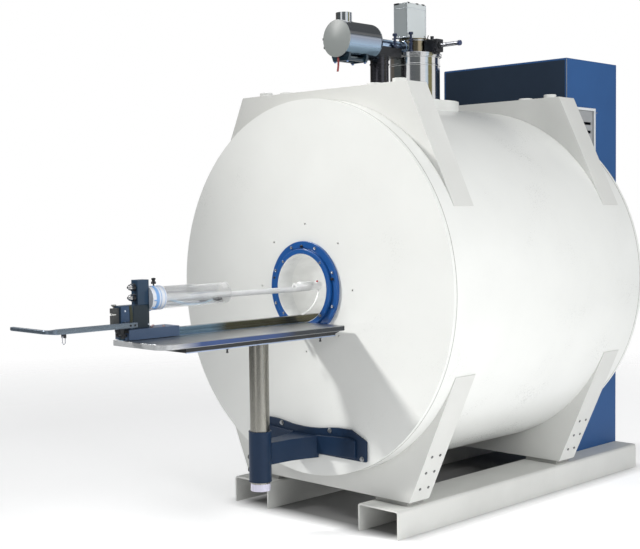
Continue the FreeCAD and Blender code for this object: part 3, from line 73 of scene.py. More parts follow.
FACE_Y = span("front_end_plate")[0].y
REAR_Y = span("rear_end_plate")[1].y
BORE_Z = middle("bore_tube").z
VESSEL_R = span("front_end_plate")[1].x
BORE_R = span("bore_tube")[1].x - 6
VESSEL_TOP = BORE_Z + VESSEL_R
COLUMN_Y = FACE_Y - 284  # axis of the column that carries the table
HANDLE_DROP = 87  # handle bar below the bore axis
INSERT_CIRCLE, SCREW_CIRCLE, STOP_CIRCLE, BOSS_CIRCLE = 281, 190, 183, 161.5  # radii on the face


# ---------------------------------------------------------------- mesh making, in mm

def directions(axis):
    """Two directions across an axis and the one along it; a leading - turns it round."""
    across, up, along = PLANES[axis[-1]]
    return (across, up, -along) if axis[0] == "-" else (across, up, along)


def softened(line, radius, closed=False, steps=4):
    """The line with its corners rounded; radius is one number or one for each corner."""
    made, count = [], len(line)
    for index, corner in enumerate(line):
        round_by = radius[index] if isinstance(radius, (list, tuple)) else radius
        if round_by <= 0 or (not closed and index in (0, count - 1)):
            made.append(tuple(corner))
            continue
        here = Vector(corner)
        back = Vector(line[index - 1]) - here
        ahead = Vector(line[(index + 1) % count]) - here
        turn_by = back.angle(ahead)
        if turn_by > math.pi - 0.03:
            made.append(tuple(corner))
            continue
        reach = min(round_by / math.tan(turn_by / 2), 0.48 * back.length, 0.48 * ahead.length)
        first, last = here + back.normalized() * reach, here + ahead.normalized() * reach
        weight = math.sin(turn_by / 2)
        for step in range(steps + 1):
            t = step / steps
            parts = ((1 - t) ** 2, 2 * t * (1 - t) * weight, t * t)
            point = (first * parts[0] + here * parts[1] + last * parts[2]) / sum(parts)
            made.append(tuple(point))
    return made


def smooth_through(points, steps=6):
    """Points on a smooth curve that goes through the given ones."""
    points = [Vector(p) for p in points]
    padded = [2 * points[0] - points[1]] + points + [2 * points[-1] - points[-2]]
    made = []
    for a, b, c, d in zip(padded, padded[1:], padded[2:], padded[3:]):
        for step in range(steps):
            t = step / steps
            made.append(0.5 * (2 * b + (c - a) * t + (2 * a - 5 * b + 4 * c - d) * t * t
                               + (3 * b - a - 3 * c + d) * t ** 3))
    return made + [points[-1]]


def skin(mesh, rows, ring=False):
    """Faces between neighbouring rows of points; a row of one point is a tip."""
    for low, high in list(zip(rows, rows[1:])) + ([(rows[-1], rows[0])] if ring else []):
        sides = max(len(low), len(high))
        for index in range(sides):
            after = (index + 1) % sides
            corners = [low[index % len(low)], low[after % len(low)], high[after % len(high)],
                high[index % len(high)]]
            distinct = [c for place, c in enumerate(corners) if c not in corners[:place]]
            if len(distinct) > 2:
                mesh.faces.new(distinct)


def turn(mesh, at, axis, line, sides=96, ring=False):
    """Turn a line of (radius, along) points about an axis.

    A third number in a point makes that ring a polygon with so many sides, radius then being
    half its width across flats; below zero it gives the ring so many flutes."""
    across, up, along = directions(axis)
    at = Vector(at)
    rows = []
    for point in line:
        radius, level, flats = (tuple(point) + (0,))[:3]
        centre = at + along * level
        if radius < 1e-3:
            rows.append([mesh.verts.new(centre)])
            continue
        row = []
        for index in range(sides):
            angle = FULL_TURN * index / sides
            reach = radius
            if flats > 0:
                share = FULL_TURN / flats
                reach /= math.cos(angle % share - share / 2)
            elif flats < 0:
                reach *= 1 + FLUTE * math.cos(flats * angle)
            row.append(mesh.verts.new(centre + (across * math.cos(angle)
                                                + up * math.sin(angle)) * reach))
        rows.append(row)
    skin(mesh, rows, ring)


def hoop(mesh, at, axis, inner, outer, thick, edge, sides=96, steps=2):
    """A ring of rectangular section with rounded edges, standing on a place of its axis."""
    line = [(inner, 0), (outer, 0), (outer, thick), (inner, thick)]
    turn(mesh, at, axis, softened(line, edge, True, steps), sides, True)


def bevel_sharp(mesh, faces, width, steps=2):
    """Round the sharp edges of some faces."""
    if width <= 0:
        return
    bmesh.ops.recalc_face_normals(mesh, faces=faces)
    edges = {e for f in faces for e in f.edges
             if len(e.link_faces) == 2 and e.calc_face_angle(0) > math.radians(30)}
    bmesh.ops.bevel(mesh, geom=list(edges), offset=width, offset_type="OFFSET", segments=steps,
        profile=0.5, affect="EDGES", clamp_overlap=True)


def slab(mesh, outline, axis, low, high, edge=0.0, steps=2):
    """A plate: an outline across an axis, from low to high along it."""
    across, up, along = directions(axis)
    rows = [[mesh.verts.new(across * a + up * b + along * level) for a,
        b in outline] for level in (low, high)]
    faces = [mesh.faces.new(rows[0]), mesh.faces.new(rows[1][::-1])]
    for index in range(len(outline)):
        after = (index + 1) % len(outline)
        faces.append(mesh.faces.new((rows[0][after], rows[0][index], rows[1][index],
            rows[1][after])))
    bevel_sharp(mesh, faces, edge, steps)


def block(mesh, low, high, edge=0.0, steps=2):
    """A box between two corners, with rounded edges."""
    outline = [(low[0], low[1]), (high[0], low[1]), (high[0], high[1]), (low[0], high[1])]
    slab(mesh, outline, "z", low[2], high[2], edge, steps)


def sweep(mesh, points, section, ring=False, first_up=Z):
    """Carry a closed section, a list of (across, up) pairs, along points."""
    points = [Vector(p) for p in points]
    count = len(points)
    rows, up = [], Vector(first_up)
    for index, point in enumerate(points):
        before = points[index - 1] if ring or index else point
        after = points[(index + 1) % count] if ring or index < count - 1 else point
        ahead = (after - before).normalized()
        up = (up - ahead * up.dot(ahead)).normalized()
        side = ahead.cross(up)
        rows.append([mesh.verts.new(point + side * a + up * b) for a, b in section])
    skin(mesh, rows, ring)
    if not ring:
        mesh.faces.new(rows[0][::-1])
        mesh.faces.new(rows[-1])


def circle(radius, sides=16):
    """Points round a circle."""
    return [(radius * math.cos(FULL_TURN * k / sides),
        radius * math.sin(FULL_TURN * k / sides)) for k in range(sides)]


def oblong(wide, high, radius, steps=3):
    """A rectangle about the origin with rounded corners."""
    a, b = wide / 2, high / 2
    return softened([(-a, -b), (a, -b), (a, b), (-a, b)], radius, True, steps)


def socket_screw(mesh, at, axis, radius, height):
    """Round screw head with a hexagon socket, standing on a surface."""
    edge, key, deep = radius * 0.14, radius * 0.5, height * 0.45
    turn(mesh, at, axis, [(0, 0), (radius, 0), (radius, height - edge), (radius - edge, height),
        (key * 1.3, height), (key, height - edge * 0.6, 6), (key, height - deep, 6),
        (0, height - deep * 1.1)], 24)


def hex_bolt(mesh, at, axis, flats, height, washer=0.0):
    """Hexagon bolt head on its washer."""
    if washer:
        turn(mesh, at, axis, [(0, 0), (flats * 1.45, 0), (flats * 1.5, washer * 0.3),
            (flats * 1.5, washer * 0.8), (flats * 1.4, washer), (0, washer)], 24)
    base = washer * 0.98
    turn(mesh, at, axis, [(0, base), (flats * 0.96, base, 6), (flats, base + height * 0.1, 6),
        (flats, base + height * 0.82, 6), (flats * 0.93, base + height), (0, base + height)], 24)


def knurled(mesh, at, axis, radius, length, ribs=20, edge=1.2):
    """Round knob with fluted sides, standing on a surface."""
    dish = length - edge * 0.6
    outline = ((0, 0.0), (0, 0.9), (edge, 1.0), (length - edge, 1.0), (length, 0.9),
        (length, 0.45), (dish, 0.38), (dish, 0))
    turn(mesh, at, axis,
        [(radius / (1 + FLUTE) * share, level, -ribs if share > 0.8 else 0) for level,
        share in outline], ribs * 4)


def piece(name, mesh, finish, body="root", stands_for=(), angle=32):
    """Turn a bmesh, drawn in mm, into a piece that rides on a body."""
    bmesh.ops.recalc_face_normals(mesh, faces=mesh.faces)
    bmesh.ops.scale(mesh, vec=(MM, MM, MM), verts=mesh.verts)
    data = bpy.data.meshes.new(name)
    mesh.to_mesh(data)
    mesh.free()
    data.materials.append(finish)
    data.shade_smooth()
    data.set_sharp_from_angle(angle=math.radians(angle))
    made = bpy.data.objects.new(name, data)
    bpy.context.scene.collection.objects.link(made)
    even = made.modifiers.new("Even shading", "WEIGHTED_NORMAL")
    even.keep_sharp, even.weight = True, 100
    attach(made, body)
    if stands_for:
        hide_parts(*stands_for)
    return made


def dress(node, finish, edge=0.0, steps=2, angle=30):
    """Give a CAD node its finish and soften its sharp edges."""
    made = NODES[node]
    for place in made.material_slots:
        place.material = finish
    if edge:
        weld = made.modifiers.new("Join", "WELD")
        weld.merge_threshold = 0.02 * MM
        flat = made.modifiers.new("Flat faces", "DECIMATE")
        flat.decimate_type = "DISSOLVE"
        flat.angle_limit = math.radians(0.8)
        bevel = made.modifiers.new("Soft edges", "BEVEL")
        bevel.width, bevel.segments = edge * MM, steps
        bevel.limit_method, bevel.angle_limit = "ANGLE", math.radians(angle)
        bevel.harden_normals = False
        shade = made.modifiers.new("Even shading", "WEIGHTED_NORMAL")
        shade.keep_sharp = False
        shade.weight = 100
    return made


# ---------------------------------------------------------------- finishes

class Term:
    """A number or vector that varies over a surface, so that Python's operators combine it."""

    def __init__(self, finish, socket):
        self.finish, self.socket = finish, socket

    def _sum(self, operation, *values):
        made = self.finish.tree.nodes.new("ShaderNodeMath")
        made.operation = operation
        for index, value in enumerate(values):
            self.finish.feed(made.inputs[index], value)
        return Term(self.finish, made.outputs[0])

    def __add__(self, other):
        return self._sum("ADD", self, other)

    __radd__ = __add__

    def __sub__(self, other):
        return self._sum("SUBTRACT", self, other)

    def __rsub__(self, other):
        return self._sum("SUBTRACT", other, self)

    def __mul__(self, other):
        return self._sum("MULTIPLY", self, other)

    __rmul__ = __mul__

    def __truediv__(self, other):
        return self._sum("DIVIDE", self, other)

    def __pow__(self, other):
        return self._sum("POWER", self, other)

    def bearing(self, other):
        """Direction of the point (other, self), as a share of a full turn from -x."""
        return (self._sum("ARCTAN2", self, other) + math.pi) / FULL_TURN

    def between(self, low, high):
        """0 below low, 1 above high and even between."""
        share = (self - low) / (high - low)
        share.socket.node.use_clamp = True
        return share


class Shading:
    """A node tree in the making, and the place or direction that its terms start from."""

    def __init__(self, tree, start):
        self.tree = tree
        self.place = Term(self, self.node("ShaderNodeTexCoord").outputs[start])

    def feed(self, socket, value):
        """Link or set a socket."""
        if isinstance(value, Term):
            self.tree.links.new(value.socket, socket)
        else:
            socket.default_value = value

    def node(self, kind, settings=None, values=None):
        """A node with its settings, then the values or links of its sockets."""
        made = self.tree.nodes.new(kind)
        for name, value in (settings or {}).items():
            if name == "stops":
                ramp = made.color_ramp
                while len(ramp.elements) < len(value):
                    ramp.elements.new(0.5)
                for element, (at, colour) in zip(ramp.elements, value):
                    element.position = at
                    element.color = (*colour, 1)
            else:
                setattr(made, name, value)
        for name, value in (values or {}).items():
            self.feed(made.inputs[name], value)
        return made

    def stretched(self, scale):
        """The place on the object, stretched by a factor for each axis."""
        made = self.node("ShaderNodeVectorMath", {"operation": "MULTIPLY"}, {0: self.place})
        made.inputs[1].default_value = scale
        return Term(self, made.outputs["Vector"])

    def axis(self, name):
        """One coordinate of the place on the object, in metres."""
        made = self.node("ShaderNodeSeparateXYZ", {}, {"Vector": self.place})
        return Term(self, made.outputs[name.upper()])

    def noise(self, scale, detail=3.0, rough=0.55, stretch=None):
        """Noise from 0 to 1; scale is how many grains there are to a metre."""
        place = self.stretched(stretch) if stretch else self.place
        made = self.node("ShaderNodeTexNoise", {}, {"Vector": place, "Scale": scale,
            "Detail": detail, "Roughness": rough})
        return Term(self, made.outputs["Fac"])

    def blend(self, share, first, second):
        """A colour between two others, or colour terms, by a share."""
        made = self.node("ShaderNodeMix", {"data_type": "RGBA"}, {"Factor": share})
        for socket, value in ((made.inputs[6], first), (made.inputs[7], second)):
            self.feed(socket, value if isinstance(value, Term) else (*value, 1))
        return Term(self, made.outputs[2])

    def ramp(self, share, stops):
        """The colour at a share of the way along some stops."""
        made = self.node("ShaderNodeValToRGB", {"stops": stops}, {"Fac": share})
        return Term(self, made.outputs["Color"])


class Finish(Shading):
    """One material: its shader, and the nodes that vary it over a surface."""

    def __init__(self, name, **constants):
        self.material = bpy.data.materials.new(name)
        self.material.use_nodes = True
        super().__init__(self.material.node_tree, "Object")
        self.shader = self.tree.nodes["Principled BSDF"]
        for socket, value in constants.items():
            self.shader.inputs[socket.replace("_", " ")].default_value = value

    def colour(self, value):
        self.feed(self.shader.inputs["Base Color"], value)
        return self

    def rough(self, value):
        self.feed(self.shader.inputs["Roughness"], value)
        return self

    def bump(self, height, strength=0.2, distance=0.2):
        """Fine relief, height being from 0 to 1 and distance its full depth in mm."""
        made = self.node("ShaderNodeBump", {}, {"Height": height, "Strength": strength,
            "Distance": distance * MM})
        self.feed(self.shader.inputs["Normal"], Term(self, made.outputs["Normal"]))
        return self


def shade(colour, factor):
    """A colour made darker or lighter."""
    return tuple(min(1.0, c * factor) for c in colour)


MADE = {}


def once(build):
    """Make each finish one time only and keep it."""
    def keep(name, *given, **named):
        if name not in MADE:
            MADE[name] = build(name, *given, **named).material
        return MADE[name]
    return keep


@once
def paint(name, colour, rough=0.35, coat=0.0, grain=700.0, relief=0.12, mottle=0.05, dust=0.0,
        shine=1.48):
    """Sprayed paint: fine orange peel, slow cloudiness, and a little dust lying in it."""
    made = Finish(name, Coat_Weight=coat, Coat_Roughness=0.18, IOR=shine)
    cloud = made.noise(3.2, 4.0)
    fine = made.noise(grain, 2.0, 0.6)
    specks = made.noise(grain * 0.22, 6.0, 0.7)
    tint = made.blend(cloud.between(0.32, 0.68), shade(colour, 1 - mottle),
        shade(colour, 1 + mottle))
    grime = specks.between(0.62, 0.74) * (0.18 + dust)
    made.colour(made.blend(grime, tint, shade(colour, 0.72)))
    made.rough(rough + (cloud - 0.5) * 0.10 + (specks - 0.5) * 0.14)
    return made.bump(fine * 0.7 + specks * 0.3, relief, 0.25)


@once
def metal(name, colour, rough=0.3, grain=(1, 1, 1), scale=400.0, contrast=0.12, relief=0.08,
        metallic=1.0):
    """Machined metal: streaks of the tool along the axes where grain is small."""
    made = Finish(name, Metallic=metallic)
    streak = made.noise(scale, 3.0, 0.65, grain)
    patch = made.noise(14.0, 4.0, 0.6)
    tint = made.blend(streak.between(0.25, 0.75), shade(colour, 1 - contrast),
        shade(colour, 1 + contrast))
    made.colour(made.blend(patch.between(0.55, 0.9) * 0.25, tint, shade(colour, 0.7)))
    made.rough(rough + (streak - 0.5) * 0.16 + (patch - 0.5) * 0.08)
    return made.bump(streak, relief, 0.15)


@once
def plastic(name, colour, rough=0.4, grain=1500.0, relief=0.15, **constants):
    """Moulded plastic: an even skin with fine texture and faint flow marks."""
    made = Finish(name, **constants)
    skin = made.noise(grain, 2.0, 0.5)
    flow = made.noise(30.0, 5.0, 0.6, (1, 0.35, 1))
    made.colour(made.blend(flow.between(0.3, 0.7), shade(colour, 0.93), shade(colour, 1.05)))
    made.rough(rough + (flow - 0.5) * 0.14 + (skin - 0.5) * 0.1)
    return made.bump(skin, relief, 0.1)


@once
def clear(name, tint, rough=0.03, alpha=0.4):
    """Clear acrylic with faint polishing marks."""
    made = Finish(name, Transmission_Weight=1.0, IOR=1.49, Alpha=alpha)
    marks = made.noise(260.0, 4.0, 0.7, (1, 0.12, 1))
    smear = made.noise(18.0, 4.0, 0.6)
    made.colour(made.blend(smear.between(0.3, 0.8), tint, shade(tint, 0.94)))
    made.rough(rough + marks.between(0.55, 0.85) * 0.05)
    return made.bump(marks, 0.04, 0.05)


@once
def woven(name, colour, threads=1600.0):
    """Ribbon cloth: a plain weave of crossing threads."""
    made = Finish(name, Sheen_Weight=0.3, Sheen_Roughness=0.5)
    place = {"Vector": made.place, "Scale": threads / FULL_TURN}
    warp = Term(made, made.node("ShaderNodeTexWave", {"bands_direction": "X"},
        place).outputs["Fac"])
    weft = Term(made, made.node("ShaderNodeTexWave", {"bands_direction": "Z"},
        place).outputs["Fac"])
    weave = warp * 0.5 + weft * 0.5
    fade = made.noise(60.0, 4.0)
    tint = made.blend(weave, shade(colour, 0.6), shade(colour, 1.25))
    made.colour(made.blend(fade.between(0.35, 0.8) * 0.4, tint, shade(colour, 1.9)))
    made.rough(0.85 + (fade - 0.5) * 0.1)
    return made.bump(weave, 0.5, 0.15)


# ---------------------------------------------------------------- what a user may change

def length(name, text, default):
    return bpy.props.FloatProperty(name=name, description=text, default=default * MM, min=0.0,
        precision=4, unit="LENGTH")


def colour(name, text, default):
    return bpy.props.FloatVectorProperty(name=name, description=text, default=default, size=3,
        min=0.0, max=1.0, subtype="COLOR")


def power(name, text, default):
    return bpy.props.FloatProperty(name=name, description=text, default=default, min=0.0)


class ScannerSizes(bpy.types.PropertyGroup):
    """Sizes of the fine parts."""
    plate_edge: length("Plate edges", "Rounding of the edges of welded plates", 1.6)
    machined_edge: length("Machined edges", "Rounding of the edges of machined blocks", 0.8)
    sheet_edge: length("Sheet edges", "Rounding of the cabinet's folded edges", 4.0)
    seam: length("Seams", "Width of the sealed seams", 3.0)
    ring_edge: length("Ring edges", "Rounding of the bore rings", 1.5)
    ring_groove: length("Ring groove", "Width of the groove round the boss", 3.5)
    bar_bend: length("Handle bend", "Radius of the handle's bend", 34.0)
    hose: length("Sample hose", "Diameter of the hose in the clear tube", 7.0)


class ScannerColours(bpy.types.PropertyGroup):
    """Colours of the finishes."""
    magnet: colour("Magnet", "Paint of the magnet's vessel", (0.72, 0.73, 0.71))
    frames: colour("Frames", "Paint of the frames and rails", (0.60, 0.605, 0.585))
    ring: colour("Bore rings", "Blue of the bore rings", (0.008, 0.075, 0.27))
    # The cabinet's front and back take a darker, greyer copy of the sides' blue: painted shade.
    door: colour("Cabinet front", "Paint of the cabinet's front", (0.022, 0.036, 0.060))
    cabinet: colour("Cabinet", "Paint of the cabinet's sides", (0.032, 0.095, 0.25))
    navy: colour("Table support", "Paint of the bracket and sleeve", (0.008, 0.022, 0.052))
    carriage: colour("Carriage", "Paint of the carriage's blocks", (0.012, 0.034, 0.068))
    sled: colour("Sled", "Paint of the carriage's sled", (0.052, 0.088, 0.16))
    steel: colour("Steel", "Tone of bright steel", (0.62, 0.63, 0.65))
    black: colour("Black parts", "Tone of knobs and fittings", (0.012, 0.013, 0.016))
    ribbon: colour("Ribbon", "Dye of the hanging ribbon", (0.23, 0.035, 0.035))


class ScannerStage(bpy.types.PropertyGroup):
    """The studio round the scanner."""
    key: power("Key light", "Strength of the light from the upper left", 1290.0)
    day: power("Daylight", "Strength of the even light from the same side", 0.6)
    fill: power("Fill light", "Strength of the soft light on the right", 140.0)
    top: power("Top light", "Strength of the soft light above", 70.0)
    front: power("Front light", "Strength of the soft light from the front", 14.0)
    bore: power("Bore light", "Strength of the soft light in the bore", 0.35)
    sky: power("Surroundings", "Brightness of the white surroundings", 0.22)
    floor: colour("Floor", "Colour of the floor", (0.90, 0.90, 0.90))
    glow: power("Floor glow", "Light added by the white floor", 0.42)


def size(name):
    """One of the user's sizes, in mm."""
    return getattr(bpy.context.scene.scanner_sizes, name) / MM


def hue(name):
    """One of the user's colours."""
    return getattr(bpy.context.scene.scanner_colours, name)


def islands(node):
    """Lowest and highest corners of each separate solid of a CAD node, in mm."""
    mesh = bmesh.new()
    mesh.from_mesh(NODES[node].data)
    bmesh.ops.remove_doubles(mesh, verts=mesh.verts, dist=0.01 * MM)
    left, found = set(mesh.verts), []
    while left:
        stack, group = [left.pop()], []
        while stack:
            vert = stack.pop()
            group.append(vert.co / MM)
            for edge in vert.link_edges:
                other = edge.other_vert(vert)
                if other in left:
                    left.remove(other)
                    stack.append(other)
        found.append((Vector([min(p[i] for p in group) for i in range(3)]),
            Vector([max(p[i] for p in group) for i in range(3)])))
    mesh.free()
    return sorted(found, key=lambda box: tuple(round(c, 1) for c in box[0]))


def round_place(index, count, radius, offset=0.0):
    """A place on a circle round the bore axis, as x and z."""
    angle = FULL_TURN * (index + offset) / count
    return radius * math.cos(angle), BORE_Z + radius * math.sin(angle)


# ---------------------------------------------------------------- finishes of this scanner

def magnet_white():
    return paint("magnet_paint", hue("magnet"), 0.30, coat=0.25, relief=0.10, mottle=0.02)


def frame_white():
    return paint("frame_paint", hue("frames"), 0.42, relief=0.16, mottle=0.03)


def navy_coat():
    return paint("navy_paint", hue("navy"), 0.40, coat=0.05, grain=900, relief=0.12, mottle=0.12,
        shine=1.3)


def carriage_coat():
    return paint("carriage_paint", hue("carriage"), 0.32, coat=0.25, grain=1200, relief=0.10,
        mottle=0.15)


def bright_steel():
    return metal("bright_steel", hue("steel"), 0.22, (1, 1, 1), 900, 0.08, 0.05)


def black_parts():
    return plastic("black_parts", hue("black"), 0.34, 1600, 0.2)


def black_steel():
    return metal("black_steel", (0.035, 0.037, 0.042), 0.3, (1, 1, 1), 700, 0.25, 0.1, 0.6)


class SCANNER_OT_magnet(bpy.types.Operator):
    """Finish the magnet's vessel, with its seams and thread inserts"""
    bl_idname = "scanner.magnet"
    bl_label = "Magnet vessel"

    def execute(self, context):
        for node in ("vessel_shell", "front_end_plate", "rear_end_plate"):
            dress(node, magnet_white(), size("plate_edge"))
        dress("bore_tube", plastic("bore_liner", (0.86, 0.865, 0.85), 0.42, 900, 0.1))
        seams = bmesh.new()
        half = size("seam") / 2
        for node, side in (("front_end_plate", 1), ("rear_end_plate", 0)):
            at = (0, span(node)[side].y, BORE_Z)
            turn(seams, at, "y", [(VESSEL_R - 1, -half), (VESSEL_R + 0.5, -half * 0.8),
                (VESSEL_R + 0.9, 0), (VESSEL_R + 0.5, half * 0.8), (VESSEL_R - 1, half)], 192,
                True)
        piece("vessel_seams", seams, plastic("seam_sealant", (0.30, 0.30, 0.28), 0.55))
        inserts = bmesh.new()
        for index in range(8):
            x, z = round_place(index, 8, INSERT_CIRCLE)
            turn(inserts, (x, FACE_Y, z), "-y", [(4, -1), (5.2, -1), (5.2, 0.3), (4.9, 0.5),
                (4.2, 0.5)], 24, True)
        piece("face_inserts", inserts, metal("insert_steel", (0.62, 0.62, 0.61), 0.45,
            metallic=0.3))
        pad = bmesh.new()
        pipe = middle("service_pipe")
        turn(pad, (pipe.x, pipe.y, VESSEL_TOP + 15.9), "z", [(43.2, 0), (58, 0), (57, 2.2),
            (47, 3.4), (43.2, 6)], 64, True)
        piece("pipe_gasket", pad, magnet_white())
        return {"FINISHED"}


class SCANNER_OT_bore_rings(bpy.types.Operator):
    """Blue rings round both ends of the bore, with their screws and the lip of the liner"""
    bl_idname = "scanner.bore_rings"
    bl_label = "Bore rings"

    def execute(self, context):
        blue = paint("ring_blue", hue("ring"), 0.30, coat=0.35, grain=1100, relief=0.08,
            mottle=0.08)
        low, high = span("front_bore_ring")
        outer, deep = high.x, FACE_Y - low.y
        thick = span("rear_bore_ring")[1].y - REAR_Y
        boss = BORE_R + 23
        groove = boss + size("ring_groove")
        line = [(BORE_R, 0), (outer, 0), (outer, thick), (groove, thick),
            (groove - 0.5, thick - 3), (boss, thick - 3), (boss, deep), (BORE_R + 2.5, deep),
            (BORE_R, deep - 2.5)]
        rounding = [0, 0, size("ring_edge"), 0.6, 0, 0, 3, 0.6, 0.6]
        front = bmesh.new()
        turn(front, (0, FACE_Y, BORE_Z), "-y", softened(line, rounding, True), 144, True)
        piece("front_ring", front, blue, stands_for=["front_bore_ring"])
        rear = bmesh.new()
        hoop(rear, (0, REAR_Y, BORE_Z), "y", BORE_R, outer, thick, size("ring_edge"), 144, 4)
        piece("rear_ring", rear, blue, stands_for=["rear_bore_ring"])
        screws = bmesh.new()
        for index in range(8):
            for start, axis in ((FACE_Y - thick, "-y"), (REAR_Y + thick, "y")):
                x, z = round_place(index, 8, SCREW_CIRCLE, 0.5)
                socket_screw(screws, (x, start, z), axis, 6.4, 5)
            if index % 2:
                x, z = round_place(index, 8, BOSS_CIRCLE)
                socket_screw(screws, (x, low.y + 0.2, z), "-y", 5.4, 3.4)
        piece("ring_screws", screws, bright_steel(), stands_for=["ring_bolts"])
        stops = bmesh.new()
        for index, offset in ((2, 0.05), (0, 0.32), (3, 0.72)):
            x, z = round_place(index, 8, STOP_CIRCLE, offset)
            turn(stops, (x, FACE_Y - thick, z), "-y",
                softened([(0, -1), (6.5, -1), (6.5, 6), (3.4, 6.5), (3.4, 11), (0, 11)], 0.8), 24)
        piece("ring_stops", stops, black_steel())
        lip = bmesh.new()
        inside = BORE_R - 0.9
        turn(lip, (0, FACE_Y, BORE_Z), "-y",
            softened([(inside, -60), (BORE_R - 0.1, -60), (BORE_R - 0.1, deep - 2),
            (BORE_R + 1.2, deep - 0.2), (BORE_R + 0.8, deep + 0.5), (inside, deep - 1.2)], 0.2,
            True), 144, True)
        piece("liner_lip", lip, plastic("lip_white", (0.80, 0.81, 0.80), 0.3))
        return {"FINISHED"}


class SCANNER_OT_frames(bpy.types.Operator):
    """Finish the four frames and make their caps, screws and pads"""
    bl_idname = "scanner.frames"
    bl_label = "Frames and rails"

    def execute(self, context):
        for node in ("front_upper_frame", "rear_upper_frame", "front_lower_frame",
                "rear_lower_frame"):
            dress(node, frame_white(), size("plate_edge"))
        dress("skid_rails", paint("rail_paint", hue("frames"), 0.45, relief=0.2, mottle=0.05,
            dust=0.1), size("machined_edge"))
        dress("foot_pads", plastic("pad_plastic", (0.36, 0.36, 0.345), 0.6, 900, 0.3), 2)
        dress("frame_screws", metal("screw_steel", (0.16, 0.165, 0.17), 0.38), 0.7)
        caps = bmesh.new()
        for low, high in islands("lifting_caps"):
            centre, radius, rise = (low + high) / 2, (high.x - low.x) / 2, high.z - low.z
            foot = min(4, rise * 0.4)
            line = [(0, 0), (radius, 0), (radius, foot), (radius - 3, foot), (radius - 3, rise),
                (radius * 0.42, rise), (radius * 0.36, rise - 2), (0, rise - 2)]
            turn(caps, (centre.x, centre.y, low.z), "z",
                softened(line, [0, 0, 1, 0.5, 3, 1, 1, 0]), 64)
        piece("frame_caps", caps, plastic("cap_white", (0.70, 0.71, 0.69), 0.4),
            stands_for=["lifting_caps"])
        return {"FINISHED"}


class SCANNER_OT_cabinet(bpy.types.Operator):
    """Service cabinet behind the magnet: shell, door, seams, screws and vent"""
    bl_idname = "scanner.cabinet"
    bl_label = "Cabinet"

    def execute(self, context):
        blue = paint("cabinet_blue", hue("cabinet"), 0.46, grain=800, relief=0.14, mottle=0.06,
            shine=1.25)
        # Painted shade: the door and the back panel take this darker, greyer copy of the sides'
        # blue.
        dark = paint("door_blue", hue("door"), 0.48, grain=800, relief=0.14, mottle=0.1,
            shine=1.22)
        dress("cabinet_shell", blue, size("sheet_edge"), 3)
        panel = bmesh.new()
        block(panel, *span("cabinet_back_panel"), 0.6)
        piece("cabinet_back", panel, dark, stands_for=["cabinet_back_panel"])
        low, high = span("cabinet_shell")
        inset, proud = 9, 1.2
        door = bmesh.new()
        outline = softened([(low.x + inset, low.z + inset), (high.x - inset, low.z + inset),
            (high.x - inset, high.z - inset), (low.x + inset, high.z - inset)], 5, True)
        slab(door, outline, "y", low.y - proud, low.y + 1, 0.6)
        piece("cabinet_door", door, dark)
        seams = bmesh.new()
        step = low.z + (high.z - low.z) * 0.705
        for side in (low.x, high.x):
            way = 1 if side > 0 else -1
            block(seams, (min(side, side + way * 0.5), low.y + 6, step - 1.2),
                (max(side, side + way * 0.5), high.y - 6, step + 1.2))
        block(seams, (low.x + 6, low.y - proud - 0.2, step - 1.2), (high.x - 6, low.y, step + 1.2))
        piece("cabinet_seams", seams, plastic("seam_dark", (0.008, 0.014, 0.03), 0.6))
        trim = bmesh.new()
        for side in (low.x, high.x):
            slab(trim, [(side - 1.6, low.y - 1.4), (side + 1.6, low.y - 1.4),
                (side + 1.6, low.y + 3), (side - 1.6, low.y + 3)], "z", low.z + 4, high.z - 4, 0.7)
        piece("cabinet_trim", trim, metal("trim_metal", (0.42, 0.47, 0.56), 0.35, (1, 1, 0.05)))
        dress("vent_panel", plastic("vent_grey", (0.34, 0.35, 0.36), 0.5, 900, 0.2), 0.8)
        low_v, high_v = span("vent_panel")
        rim = bmesh.new()
        wide = 13
        near, far, foot, top = low_v.y, high_v.y, low_v.z, high_v.z
        for a, b in (((near, foot), (far, foot + wide)), ((near, top - wide), (far, top)),
                ((near, foot + wide), (near + wide, top - wide)), ((far - wide, foot + wide),
                (far, top - wide))):
            block(rim, (high_v.x - 0.5, *a), (high_v.x + 2.2, *b), 0.9)
        piece("vent_rim", rim, plastic("rim_white", (0.70, 0.72, 0.74), 0.4))
        screws = bmesh.new()
        for y in (low_v.y - 14, high_v.y + 14):
            for z in (low_v.z + 20, middle("vent_panel").z, high_v.z - 20):
                socket_screw(screws, (high.x, y, z), "x", 4, 2)
        for x in (low.x + 16, 0, high.x - 16):
            for z in (low.z + 20, low.z + 660, step, high.z - 20):
                socket_screw(screws, (x, high.y - 0.3, z), "y", 5, 2.5)
        piece("cabinet_screws", screws, bright_steel())
        back = bmesh.new()
        handle_z = (low.z + high.z) / 2
        block(back, (-60, high.y - 0.3, handle_z - 14), (60, high.y + 2, handle_z + 14), 1)
        for index in range(9):
            z = low.z + 150 + index * 24
            block(back, (-150, high.y - 0.3, z), (150, high.y + 2.5, z + 9), 1.2)
        piece("cabinet_louvres", back, black_steel())
        dress("cabinet_rack", metal("rack_steel", (0.4, 0.41, 0.42), 0.45))
        return {"FINISHED"}


